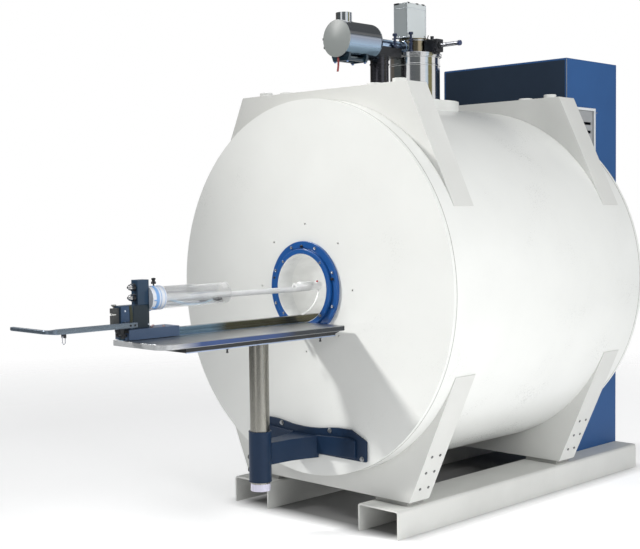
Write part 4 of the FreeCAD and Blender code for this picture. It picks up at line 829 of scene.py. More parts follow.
class SCANNER_OT_turret(bpy.types.Operator):
    """Service turret: polished neck, its flange, cold head and cover"""
    bl_idname = "scanner.turret"
    bl_label = "Service turret"

    def execute(self, context):
        low, high = span("turret_neck")
        axis = middle("turret_neck")
        radius, flange, top = 120, (high.x - low.x) / 2, high.z - low.z
        polish = metal("turret_polish", (0.66, 0.665, 0.67), 0.11, (0.05, 0.05, 1), 260, 0.05,
            0.035)
        neck = bmesh.new()
        line = [(radius - 3, 0), (radius, 0), (radius, top - 60), (radius + 1.5, top - 59),
            (radius + 1.5, top - 52), (radius, top - 51), (radius, top - 22),
            (radius + 3, top - 20), (radius + 3, top - 15), (flange, top - 15), (flange, top - 9),
            (flange - 1.5, top - 8), (flange - 1.5, top - 6.5), (flange, top - 5.5), (flange, top),
            (50, top), (50, top - 15), (radius - 3, top - 15)]
        turn(neck, (axis.x, axis.y, low.z), "z", softened(line, 0.8, True, 3), 128, True)
        piece("neck", neck, polish, stands_for=["turret_neck"])
        base = bmesh.new()
        foot = VESSEL_TOP + 23.6
        turn(base, (axis.x, axis.y, foot), "z",
            softened([(radius + 0.2, 0), (radius + 26, 0), (radius + 22, 5), (radius + 4, 9),
            (radius + 0.2, 18)], 2, True), 96, True)
        piece("neck_collar", base, magnet_white())
        screws = bmesh.new()
        for index in range(14):
            angle = FULL_TURN * (index + 0.5) / 14
            x, y = math.cos(angle), math.sin(angle)
            if x > 0.86 or (x > 0.3 and y < -0.6):
                continue
            hex_bolt(screws, (axis.x + 104 * x, axis.y + 104 * y, high.z), "z", 5, 5, 1.4)
        piece("flange_bolts", screws, bright_steel())
        dress("cold_head", metal("head_steel", (0.34, 0.29, 0.20), 0.18, (0.05, 0.05, 1), 300,
            0.08, 0.04), 1)
        head = bmesh.new()
        zone = span("cold_head_cover")[0].z
        for level, thick in ((zone - 67, 5), (zone - 12, 5)):
            hoop(head, (axis.x, axis.y, level), "z", 75.1, 77.6, thick, 0.8)
        piece("head_bands", head, bright_steel())
        cover = Finish("cover_steel", Metallic=0.6)
        haze = cover.noise(5.0, 2.0)
        cover.colour(cover.blend(haze.between(0.3, 0.7), (0.66, 0.71, 0.72), (0.70, 0.75, 0.765)))
        cover.rough(0.26 + (haze - 0.5) * 0.04)
        cover.bump(cover.noise(900.0, 2.0), 0.02, 0.05)
        dress("cold_head_cover", cover.material, 2.2)
        low_c, high_c = span("cold_head_cover")
        edges = bmesh.new()
        for x in (low_c.x, high_c.x):
            for y in (low_c.y, high_c.y):
                block(edges, (x - 1.3, y - 1.3, low_c.z + 1), (x + 1.3, y + 1.3, high_c.z - 3),
                    0.8)
        lid = high_c.z - 26
        for level in (lid, low_c.z + 4):
            block(edges, (low_c.x - 0.7, low_c.y - 0.7, level), (high_c.x + 0.7, high_c.y + 0.7,
                level + 2), 0.5)
        piece("cover_edges", edges, metal("edge_metal", (0.72, 0.76, 0.82), 0.25))
        bits = bmesh.new()
        for y, wide in ((low_c.y + 7, 11), (middle("cold_head_cover").y, 14), (high_c.y - 26, 17)):
            block(bits, (high_c.x - 7, y, high_c.z - 4), (high_c.x + 1.4, y + wide,
                high_c.z + 2.2), 0.9)
        block(bits, (low_c.x - 1, low_c.y - 1.2, high_c.z - 7), (low_c.x + 30, low_c.y + 5,
            high_c.z + 1.6), 0.9)
        piece("cover_clips", bits, black_parts())
        return {"FINISHED"}


class SCANNER_OT_manifold(bpy.types.Operator):
    """Vent manifold with its cap, stub, link and cradle, and the ribbon that hangs from it"""
    bl_idname = "scanner.manifold"
    bl_label = "Vent manifold"

    def execute(self, context):
        low_c, high_c = span("manifold_cap")
        radius, axis_z = (high_c.x - low_c.x) / 2, (low_c.z + high_c.z) / 2
        front = high_c.y
        body_long, heel = 235, 38
        polish = Finish("manifold_polish", Metallic=1.0)
        streak = polish.noise(300.0, 3.0, 0.65, (1, 0.04, 1))
        # The drum's colour changes with height to paint reflections on it: the dark, bluish lower
        # half is a painted reflection of the floor, and the white band from 0.61 to 0.655 of its
        # height is a painted highlight line.
        height = (polish.axis("z") - (axis_z - radius) * MM) / (2 * radius * MM)
        tone = polish.ramp(height, [(0.0, (0.10, 0.14, 0.17)), (0.14, (0.22, 0.32, 0.42)),
            (0.34, (0.34, 0.46, 0.60)), (0.50, (0.30, 0.34, 0.42)), (0.59, (0.46, 0.50, 0.56)),
            (0.61, (1, 1, 1)), (0.655, (1, 1, 1)), (0.67, (0.62, 0.64, 0.67)),
            (1.0, (0.60, 0.61, 0.62))])
        polish.colour(polish.blend(streak.between(0.3, 0.8) * 0.12, tone, (0.3, 0.32, 0.36)))
        polish.rough(0.13 + (streak - 0.5) * 0.1)
        polish.bump(streak, 0.03, 0.15)
        drum = bmesh.new()
        line = softened([(radius - 3, 0), (radius, 0), (radius, body_long), (24, body_long),
            (24, body_long + 4), (20, body_long + 4), (20, body_long - 3),
            (radius - 3, body_long - 3)], [0, 0.5, heel, 2, 0, 0, 0, heel], True, 8)
        turn(drum, (0, front, axis_z), "y", line, 128, True)
        piece("manifold_drum", drum, polish.material, stands_for=["vent_manifold"])
        stub = bmesh.new()
        stub_top = span("vent_manifold")[1].z
        foot = axis_z + radius - 16
        hoop(stub, (0, front + 46, foot), "z", 33.5, 36.5, stub_top - foot, 0.6)
        piece("vent_stub", stub, metal("stub_polish", (0.62, 0.64, 0.67), 0.12, (0.05, 0.05, 1),
            260, 0.05, 0.035))
        collar = bmesh.new()
        loop = []
        for index in range(72):
            angle = FULL_TURN * index / 72
            x, y = 37.3 * math.cos(angle), 37.3 * math.sin(angle)
            loop.append((x, front + 46 + y, axis_z + math.sqrt(radius ** 2 - x * x) + 0.3))
        sweep(collar, loop, circle(2, 8), True)
        piece("stub_weld", collar, bright_steel())
        link = bmesh.new()
        start = front + body_long - 2
        reach = middle("turret_neck").y - 75 - start
        turn(link, (0, start, axis_z), "y", softened([(21, 0), (26, 0), (26, 22), (29, 23),
            (29, 30), (26, 31), (26, reach - 16), (29, reach - 15), (29, reach + 1),
            (21, reach + 1)], 0.8, True, 2), 64, True)
        piece("vent_link", link, metal("link_metal", (0.46, 0.60, 0.80), 0.2, (1, 0.05, 1), 300,
            0.06, 0.04))
        cap = bmesh.new()
        thick = high_c.y - low_c.y
        line = [(0, 0), (radius + 1.2, 0), (radius + 1.2, 4.5)]
        for share in (0.92, 0.8, 0.65, 0.5, 0.35, 0.2, 0.08, 0):
            line.append((radius * share, 4.5 + (thick - 4.5) * (1 - share ** 1.7)))
        turn(cap, (0, front, axis_z), "-y", softened(line, [0, 0, 1.6] + [0] * 8), 96)
        piece("manifold_lid", cap, paint("lid_paint", (0.27, 0.29, 0.285), 0.40, relief=0.08,
            mottle=0.04), stands_for=["manifold_cap"])
        clamps = bmesh.new()
        for angle in (math.radians(176), math.radians(203)):
            x, z = (radius + 3) * math.cos(angle), (radius + 3) * math.sin(angle)
            block(clamps, (x - 8, front + 1, axis_z + z - 6), (x + 3, front + 20, axis_z + z + 6),
                2)
            hex_bolt(clamps, (x - 8, front + 10, axis_z + z), "-x", 4, 4)
        piece("lid_clamps", clamps, black_steel())
        cradle = bmesh.new()
        low_m = axis_z - radius
        near, far = front + 20, front + 150
        arc = [(radius * math.sin(math.radians(a)),
            axis_z - (radius + 0.2) * math.cos(math.radians(a))) for a in range(-40, 41, 8)]
        outline = [(-45, low_m - 17), (45, low_m - 17), (54, low_m + 6)] + arc[::-1] + [(-54,
            low_m + 6)]
        slab(cradle, outline, "y", near, near + 14, 1)
        slab(cradle, outline, "y", far - 14, far, 1)
        for x in (-40, 22):
            block(cradle, (x, near + 14, low_m - 15), (x + 18, far - 14, low_m - 3), 2)
        piece("manifold_cradle", cradle, paint("cradle_paint", (0.012, 0.035, 0.055), 0.25,
            coat=0.4, mottle=0.2))
        straps = bmesh.new()
        for at in (near + 7, far - 7):
            for x in (-38, 38):
                hex_bolt(straps, (x, at, low_m - 17), "-z", 5, 5, 1)
        piece("cradle_bolts", straps, metal("bolt_blue", (0.25, 0.35, 0.6), 0.3))
        low_r, high_r = span("hanging_ribbon")
        across, down = 12, 40
        wide, drop = high_r.x - low_r.x, high_r.z - low_r.z
        cloth = bmesh.new()
        grid = []
        for row in range(down + 1):
            t = row / down
            twist = 0.9 * t * t + 0.25 * math.sin(5 * t)
            sway = 2.2 * math.sin(4.2 * t) * t
            line = []
            for column in range(across + 1):
                s = column / across - 0.5
                curl = 1.6 * (4 * s * s) * math.sin(3.1 * t + 0.4)
                line.append(cloth.verts.new((
                    middle("hanging_ribbon").x + wide * s * math.cos(twist) + sway,
                    middle("hanging_ribbon").y + wide * s * math.sin(twist) * 0.6 + curl,
                    high_r.z - drop * t * 0.985)))
            grid.append(line)
        for first, second in zip(grid, grid[1:]):
            for index in range(across):
                cloth.faces.new((first[index], first[index + 1], second[index + 1], second[index]))
        ribbon = piece("ribbon", cloth, woven("ribbon_cloth", hue("ribbon")),
            stands_for=["hanging_ribbon"])
        return {"FINISHED"}


class SCANNER_OT_valve_gear(bpy.types.Operator):
    """Service pipe, valve block, gas fittings and the relief valve with its stem"""
    bl_idname = "scanner.valve_gear"
    bl_label = "Valve gear"

    def execute(self, context):
        dark = metal("pipe_metal", (0.075, 0.074, 0.084), 0.27, (0.05, 0.05, 1), 240, 0.15, 0.05)
        dress("service_pipe", dark, 0.5)
        pipe = middle("service_pipe")
        rings = bmesh.new()
        top = span("service_pipe")[1].z
        for level in (top - 12, top - 34):
            hoop(rings, (pipe.x, pipe.y, level), "z", 43.1, 46, 6, 1, 64)
        piece("pipe_bands", rings, dark)
        low, high = span("valve_block")
        body = bmesh.new()
        block(body, (low.x + 15, low.y + 8, low.z + 8), (high.x - 15, high.y - 1, high.z), 3)
        turn(body, (pipe.x, pipe.y, low.z), "z",
            softened([(0, 0), (45, 0), (45, 9), (30, 12), (0, 12)], 1.5), 64)
        piece("valve_body", body, black_steel(), stands_for=["valve_block"])
        gas = bmesh.new()
        for low, high in islands("turret_fittings"):
            centre, rise = (low + high) / 2, high.z - low.z
            at = (centre.x, centre.y, low.z)
            turn(gas, at, "z", [(0, 0), (9.5, 0, 6), (9.5, 10, 6), (7, 11), (7, rise * 0.35),
                (8.6, rise * 0.37), (8.6, rise * 0.46), (5.5, rise * 0.5), (5.5, rise - 13),
                (10.4, rise - 12), (11, rise - 10), (11, rise - 3), (9, rise), (0, rise)], 24)
            turn(gas, (centre.x - 14, centre.y, low.z + rise * 0.62), "x",
                [(0, 0), (3.2, 0), (3.6, 1), (3.6, 27), (3.2, 28), (0, 28)], 16)
        piece("gas_fittings", gas, paint("fitting_navy", (0.012, 0.022, 0.055), 0.3, coat=0.2),
            stands_for=["turret_fittings"])
        low, high = span("relief_valve")
        stem_z, stem_y = (low.z + high.z) / 2, (low.y + high.y) / 2
        dress("relief_valve", black_steel(), 3.5, 3)
        extra = bmesh.new()
        turn(extra, (high.x - 1, stem_y, stem_z), "x", [(10.4, 0), (16, 0, 6), (16, 6, 6), (14, 7),
            (13, 9), (10.4, 9)], 48, True)
        for x in (low.x + 16, high.x - 16):
            for z in (low.z + 13, high.z - 13):
                hex_bolt(extra, (x, low.y + 0.3, z), "-y", 4.5, 4, 1)
        turn(extra, (low.x + 30, stem_y, high.z - 1), "z", [(0, 0), (15, 0), (15, 4), (8, 5),
            (8, 12, 6), (8, 18, 6), (0, 19)], 24)
        slab(extra, [(low.y + 6, low.z + 2), (high.y - 6, low.z + 2), (high.y - 12, low.z - 9),
            (low.y + 12, low.z - 9)], "x", 130, 144, 2)
        piece("relief_details", extra, black_steel())
        levers = bmesh.new()
        for lean in (-0.6, 0.7):
            start = Vector((low.x + 8, stem_y - 12, high.z - 2))
            end = start + Vector((lean * 20, -6, 22))
            sweep(levers, [start, (start + end) / 2, end], circle(2.2, 10), False, Y)
        piece("relief_levers", levers, metal("lever_metal", (0.25, 0.24, 0.22), 0.35))
        low_s, high_s = span("valve_stem")
        stem = bmesh.new()
        reach = high_s.x - low_s.x
        line = [(0, 0), (10, 0), (10, reach - 84)]
        for index in range(7):
            start = reach - 82 + index * 9
            line += [(9, start), (9, start + 2), (10, start + 3), (10, start + 8)]
        line += [(10, reach - 14), (0, reach - 14)]
        turn(stem, (low_s.x, stem_y, stem_z), "x", line, 32)
        piece("stem_rod", stem, metal("stem_metal", (0.34, 0.345, 0.37), 0.3, (0.05, 1, 1)),
            "valve_stem", stands_for=["valve_stem"])
        knob = bmesh.new()
        knurled(knob, (high_s.x - 15.5, stem_y, stem_z), "x", 12.5, 15.5, 14)
        piece("stem_knob", knob, paint("knob_navy", (0.02, 0.035, 0.10), 0.3, coat=0.3),
            "valve_stem")
        return {"FINISHED"}


class SCANNER_OT_column(bpy.types.Operator):
    """Table column, the sleeve that holds it, its clamp knobs and the bracket on the face"""
    bl_idname = "scanner.column"
    bl_label = "Column and bracket"

    def execute(self, context):
        foot_z, tone = span("table_column")[0].z, (0.29, 0.283, 0.255)
        column = Finish("column_steel")
        end = 1 - column.axis("z").between((foot_z + 30) * MM, (foot_z + 32) * MM)
        streak = column.noise(320.0, 3.0, 0.65, (1, 1, 0.04))
        steel = column.blend(streak.between(0.25, 0.75), shade(tone, 0.9), shade(tone, 1.1))
        column.colour(column.blend(end, steel, (0.56, 0.55, 0.66)))
        column.rough(0.27 + (streak - 0.5) * 0.16)
        column.feed(column.shader.inputs["Metallic"], 1 - end)
        column.bump(streak, 0.05, 0.15)
        dress("table_column", column.material, 1)
        dress("column_sleeve", navy_coat(), 1.2)
        for name in ("upper_clamp_screw", "lower_clamp_screw"):
            low, high = span(name)
            centre = (low + high) / 2
            screw = bmesh.new()
            turn(screw, (high.x, centre.y, centre.z), "-x", [(0, 0), (4, 0), (5, 1), (5, 17),
                (0, 17)], 24)
            knurled(screw, (low.x + 12, centre.y, centre.z), "-x", 11, 12, 12)
            piece(name.replace("screw", "knob"), screw, black_parts(), name, stands_for=[name])
        low, high = span("column_bracket")
        back, plate = high.y, high.y - 12
        wing, top, foot = high.x, high.z, span("column_bracket")[0].z + 17
        tip = top - 40
        crest = [(wing, tip), (270, top - 0.5)]
        edge = smooth_through([(x, 0, top + z) for x, z in ((235, 0), (185, -1), (130, -8),
            (75, -15), (0, -18), (-75, -15), (-130, -8), (-185, -1), (-235, 0))], 5)
        crest += [(p.x, p.z) for p in edge] + [(-x, z) for x, z in crest[::-1]]
        outline = [(-wing, foot), (wing, foot)] + crest
        bracket = bmesh.new()
        rounding = [6, 6, 9, 16] + [0] * (len(outline) - 6) + [16, 9]
        slab(bracket, softened(outline, rounding, True), "y", plate, back, 1.5)
        for way in (-1, 1):
            pad = [(way * 70, foot + 3), (way * 305, foot + 12), (way * 305, top - 43),
                (way * 272, top - 34), (way * 90, top - 44), (way * 70, top - 46)]
            slab(bracket, softened(pad, 6, True), "y", plate - 11, plate + 1, 3, 3)
        reach = 48.3
        arm_low, arm_high = span("column_bracket")[0].z, span("column_bracket")[0].z + 96
        plan = [(-85, plate + 1), (85, plate + 1), (62, plate - 60), (44, plate - 130),
            (38, COLUMN_Y + 31)]
        for degrees in range(40, 141, 10):
            angle = math.radians(degrees)
            plan.append((reach * math.cos(angle), COLUMN_Y + reach * math.sin(angle)))
        plan += [(-38, COLUMN_Y + 31), (-44, plate - 130), (-62, plate - 60)]
        slab(bracket, plan, "z", arm_low + 17, arm_high, 3, 3)
        slab(bracket, [(x * 0.96, y) for x, y in plan], "z", arm_low + 2, arm_low + 19, 3, 3)
        piece("face_bracket", bracket, navy_coat(), stands_for=["column_bracket"])
        bolts = bmesh.new()
        for low_b, high_b in islands("bracket_bolts"):
            centre = (low_b + high_b) / 2
            hex_bolt(bolts, (centre.x, plate, centre.z), "-y", 7.5, 6, 1.6)
        piece("face_bolts", bolts, metal("bolt_grey", (0.36, 0.37, 0.38), 0.34),
            stands_for=["bracket_bolts"])
        studs = bmesh.new()
        for x in (140, 165, 190, 225):
            for way in (-1, 1):
                turn(studs, (way * x, plate - 0.5, top - 27), "-y", [(0, 0), (2.5, 0), (2.5, 1.4),
                    (1.6, 2.2), (0, 2.4)], 16)
        piece("bracket_rivets", studs, navy_coat())
        rims = bmesh.new()
        low_s, high_s = span("column_sleeve")
        for level, thick in ((high_s.z - 3, 3.6), (low_s.z - 0.6, 3.6)):
            hoop(rims, (0, COLUMN_Y, level), "z", 47, 49.2, thick, 1)
        piece("sleeve_rims", rims, navy_coat())
        return {"FINISHED"}


class SCANNER_OT_table(bpy.types.Operator):
    """Loading table: plate, edge band, under-frame, studs and guide rail"""
    bl_idname = "scanner.table"
    bl_label = "Loading table"

    def execute(self, context):
        low, high = span("table_plate")
        satin = metal("table_metal", (0.40, 0.41, 0.42), 0.34, (1, 0.05, 1), 420, 0.07, 0.05)
        dress("table_plate", satin, 2.2, 3)
        dress("table_beam", metal("beam_dark", (0.05, 0.052, 0.055), 0.4, (1, 0.1, 1), 400, 0.2,
            0.1, 0.7), 1.2)
        band = Finish("edge_band", Metallic=0.35, Coat_Weight=0.3, Coat_Roughness=0.2)
        along = (band.axis("y") - low.y * MM) / ((high.y - low.y) * MM)
        streak = band.noise(300.0, 3.0, 0.6, (1, 0.04, 1))
        silver, navy, dark = (0.60, 0.61, 0.62), (0.035, 0.075, 0.22), (0.022, 0.026, 0.030)
        tint = band.ramp(along, [(0.0, silver), (0.06, silver), (0.19, navy), (0.58, navy),
            (0.71, dark), (1.0, dark)])
        band.colour(band.blend(streak.between(0.3, 0.7) * 0.3, tint, (0.02, 0.03, 0.06)))
        band.rough(0.32 + (streak - 0.5) * 0.14)
        band.bump(streak, 0.06)
        side = bmesh.new()
        radius, outer = 60, high.x
        middle_z = (low.z + high.z) / 2
        path = [(low.x + 3, low.y - 0.3, middle_z)]
        for degrees in range(90, -1, -5):
            angle = math.radians(degrees)
            path.append((outer - radius + (radius + 0.3) * math.cos(angle),
                low.y + radius - (radius + 0.3) * math.sin(angle), middle_z))
        path.append((outer + 0.3, high.y - 2, middle_z))
        sweep(side, path, oblong(1.2, high.z - low.z - 5, 0.5))
        piece("table_edge_band", side, band.material, "table")
        lip = bmesh.new()
        low_b, high_b = span("table_beam")
        block(lip, (high_b.x - 4, low_b.y, low.z - 20), (high_b.x + 2, high_b.y, low.z - 15), 1.2)
        piece("beam_lip", lip, metal("lip_pale", (0.42, 0.50, 0.68), 0.3, (1, 0.05, 1)), "table")
        gusset = bmesh.new()
        near = high_b.y
        for x in (low_b.x + 8, high_b.x - 20):
            slab(gusset, [(near - 30, low.z + 0.2), (near + 34, low.z + 0.2),
                (near + 30, low.z - 5), (near - 10, low.z - 17), (near - 30, low.z - 17)], "x", x,
                x + 12, 1)
        piece("beam_gussets", gusset, black_steel(), "table")
        studs = bmesh.new()
        for y in (FACE_Y - 158, FACE_Y - 670):
            for x in (low_b.x + 16, high_b.x - 8):
                base = (x, y, low.z - 17.5)
                turn(studs, base, "-z", [(0, 0), (6, 0, 6), (6, 5, 6), (3.4, 6), (3.4, 14),
                    (5.2, 15), (5.2, 19), (0, 20)], 24)
        piece("beam_studs", studs, black_steel(), "table")
        low_g, high_g = span("guide_rail")
        rail = Finish("guide_metal", Metallic=1.0)
        # Painted reflection: the rail's colour goes from a bluish chrome tone away from the bore
        # to a dark brown tone over the 90 mm towards it.
        along = (rail.axis("y") - (FACE_Y - 560) * MM) / (90 * MM)
        along.socket.node.use_clamp = True
        streak = rail.noise(500.0, 3.0, 0.6, (1, 0.03, 1))
        tint = rail.blend(along, (0.21, 0.33, 0.45), (0.105, 0.10, 0.065))
        rail.colour(rail.blend(streak.between(0.3, 0.7) * 0.3, tint, (0.06, 0.065, 0.07)))
        rail.rough(0.2 + (streak - 0.5) * 0.12 + along * 0.1)
        rail.bump(streak, 0.05)
        dress("guide_rail", rail.material, 0.9)
        screws = bmesh.new()
        for index in range(7):
            y = low_g.y + 60 + index * 150
            for way in (-1, 1):
                x = way * (high_g.x + 9)
                if y < high.y - 20:
                    socket_screw(screws, (x, y, high.z - 0.2), "z", 3, 1.4)
        piece("guide_screws", screws, bright_steel(), "table")
        feet = bmesh.new()
        for way in (-1, 1):
            x = way * (high_g.x + 7)
            block(feet, (x - 7, low_g.y + 4, high.z - 0.3), (x + 7, high.y - 6, high.z + 1.1), 0.5)
        piece("guide_flanges", feet, metal("flange_metal", (0.33, 0.42, 0.56), 0.28, (1, 0.05, 1),
            400, 0.1, 0.05), "table")
        return {"FINISHED"}


class SCANNER_OT_carriage(bpy.types.Operator):
    """Carriage: sled, blocks, stage knobs, split clamp, lock knob and strap"""
    bl_idname = "scanner.carriage"
    bl_label = "Carriage"

    def execute(self, context):
        coat, edge = carriage_coat(), size("machined_edge")
        dress("carriage_sled", paint("sled_paint", hue("sled"), 0.32, coat=0.25, grain=1200,
            relief=0.1, mottle=0.08), 1.6, 3)
        dress("lower_block", coat, edge)
        dress("upper_block", coat, edge)
        low, high = span("lower_block")
        low_s, high_s = span("carriage_sled")
        low_c, high_c = span("split_clamp")
        low_c.x, high_c.x = low_c.x + 7, high_c.x - 7
        slot_z = low_c.z + (high_c.z - low_c.z) * 0.6
        jaws = bmesh.new()
        block(jaws, low_c, (high_c.x, high_c.y, slot_z), edge)
        block(jaws, (low_c.x, high_c.y - 12, slot_z - 1), (high_c.x, high_c.y, slot_z + 9), edge)
        block(jaws, (low_c.x, low_c.y, slot_z + 8), high_c, edge)
        piece("clamp_jaws", jaws, plastic("clamp_grey", (0.055, 0.058, 0.06), 0.42), "carriage",
            stands_for=["split_clamp"])
        insert = bmesh.new()
        block(insert, (low_c.x + 1, low_c.y + 0.6, slot_z + 1.6), (low_c.x + 7, high_c.y - 13,
            slot_z + 6.4), 0.8)
        block(insert, (high_c.x - 7, low_c.y + 0.6, slot_z + 1.6), (high_c.x - 1, high_c.y - 13,
            slot_z + 6.4), 0.8)
        piece("clamp_shims", insert, plastic("shim_white", (0.66, 0.66, 0.64), 0.4), "carriage")
        panel = bmesh.new()
        half = high.x
        split = low.y + 49
        for side in (-1, 1):
            at = side * half
            block(panel, (min(at, at + side * 1.6), split + 9, low.z + 1),
                (max(at, at + side * 1.6), high.y - 1, high.z - 1), 0.8)
        piece("block_cheeks", panel, paint("cheek_navy", (0.005, 0.016, 0.028), 0.3, coat=0.2,
            grain=1200, relief=0.1), "carriage")
        plates = bmesh.new()
        for at, out in ((half, half + 0.8), (-half - 0.8, -half)):
            block(plates, (at, low.y + 2, low.z + 5), (out, split - 9, high.z - 2), 0.4)
        piece("block_plates", plates, paint("plate_blue", (0.022, 0.055, 0.12), 0.3, coat=0.25,
            grain=1200, relief=0.1), "carriage")
        strap = bmesh.new()
        for side in (-1, 1):
            x = side * (half + 1.2)
            path = smooth_through([(x, split - 8, low.z + 8), (x, split - 1, low.z + 32),
                (x, split, low.z + 58), (x, split - 5, high.z - 1)], 6)
            sweep(strap, path, oblong(13, 1.6, 0.6), False, X)
        piece("block_straps", strap, plastic("strap_olive", (0.032, 0.036, 0.020), 0.45),
            "carriage")
        screws = bmesh.new()
        for side, axis in ((-1, "-x"), (1, "x")):
            for z in (low.z + 26, high.z - 20):
                socket_screw(screws, (side * (half + 0.7), low.y + 20, z), axis, 3.6, 2)
        socket_screw(screws, (half + 1.5, high.y - 6, low.z + 14), "x", 3, 1.6)
        piece("block_screws", screws, plastic("screw_pale", (0.62, 0.68, 0.76), 0.3), "carriage")
        top = bmesh.new()
        for y, x in ((high_s.y - 118, 20), (high_s.y - 78, -22), (high_s.y - 62, 24)):
            hex_bolt(top, (x, y, high_s.z - 0.2), "z", 4.2, 4, 1.2)
        piece("sled_screws", top, metal("screw_rose", (0.55, 0.40, 0.38), 0.35), "carriage")
        rim = bmesh.new()
        block(rim, (low_s.x + 2, high_s.y - 2, low_s.z + 29.6), (high_s.x - 2, high_s.y + 1.5,
            high_s.z - 1.5), 1.2, 3)
        piece("sled_bumper", rim, paint("bumper_paint", shade(hue("sled"), 0.7), 0.4), "carriage")
        bosses = bmesh.new()
        boss_y = span("upper_block")[0].y
        for name in ("upper_stage_knob", "lower_stage_knob"):
            centre = middle(name)
            hoop(bosses, (0, boss_y + 12.5, centre.z), "-y", 13.05, 14.4, 12.6, 0.5, 48)
            shaft = bmesh.new()
            low_k, high_k = span(name)
            reach = high_k.y - low_k.y - 16
            turn(shaft, (0, high_k.y, centre.z), "-y", [(0, 0), (3.6, 0), (4, 1), (4, reach),
                (0, reach)], 24)
            knurled(shaft, (0, low_k.y + 18, centre.z), "-y", 11.6, 11, 12, 1.6)
            turn(shaft, (0, low_k.y + 7.4, centre.z), "-y", [(0, 0), (6, 0), (6.4, 1), (6, 6),
                (4.6, 7.4), (0, 7.4)], 24)
            piece(name.replace("knob", "grip"), shaft, metal("knob_chrome", (0.74, 0.74, 0.75),
                0.14, (1, 1, 1), 900, 0.05, 0.03), name, stands_for=[name])
        piece("stage_bosses", bosses, black_parts(), "carriage")
        low_l, high_l = span("lock_knob")
        lock = bmesh.new()
        centre = middle("lock_knob")
        reach = high_l.y - low_l.y - 11
        turn(lock, (centre.x, high_l.y, centre.z), "-y", [(0, 0), (3.6, 0), (4, 1), (4, reach),
            (0, reach)], 24)
        knurled(lock, (centre.x, low_l.y + 12, centre.z), "-y", 12, 12, 10)
        piece("lock_grip", lock, black_parts(), "lock_knob", stands_for=["lock_knob"])
        ends = bmesh.new()
        turn(ends, (-27, low_s.y + 0.5, low_s.z + 18), "-y",
            softened([(0, 0), (11, 0), (11, 5), (6, 6), (6, 9), (0, 10)], 0.8), 32)
        block(ends, (-44, low_s.y - 3, low_s.z + 27), (44, low_s.y + 0.5, high_s.z - 1), 1)
        piece("sled_end", ends, black_parts(), "carriage")
        low_t, high_t = span("thumbscrew")
        thumb = bmesh.new()
        centre = middle("thumbscrew")
        rise = high_t.z - low_t.z
        turn(thumb, (centre.x, centre.y, low_t.z), "z", [(0, 0), (2.6, 0), (3, 0.8), (3, rise - 9),
            (6.4, rise - 8), (9, rise - 5), (10, rise - 4), (10, rise - 1), (9, rise), (0, rise)],
            32)
        piece("thumb_grip", thumb, metal("thumb_steel", (0.33, 0.33, 0.32), 0.35), "thumbscrew",
            stands_for=["thumbscrew"])
        return {"FINISHED"}


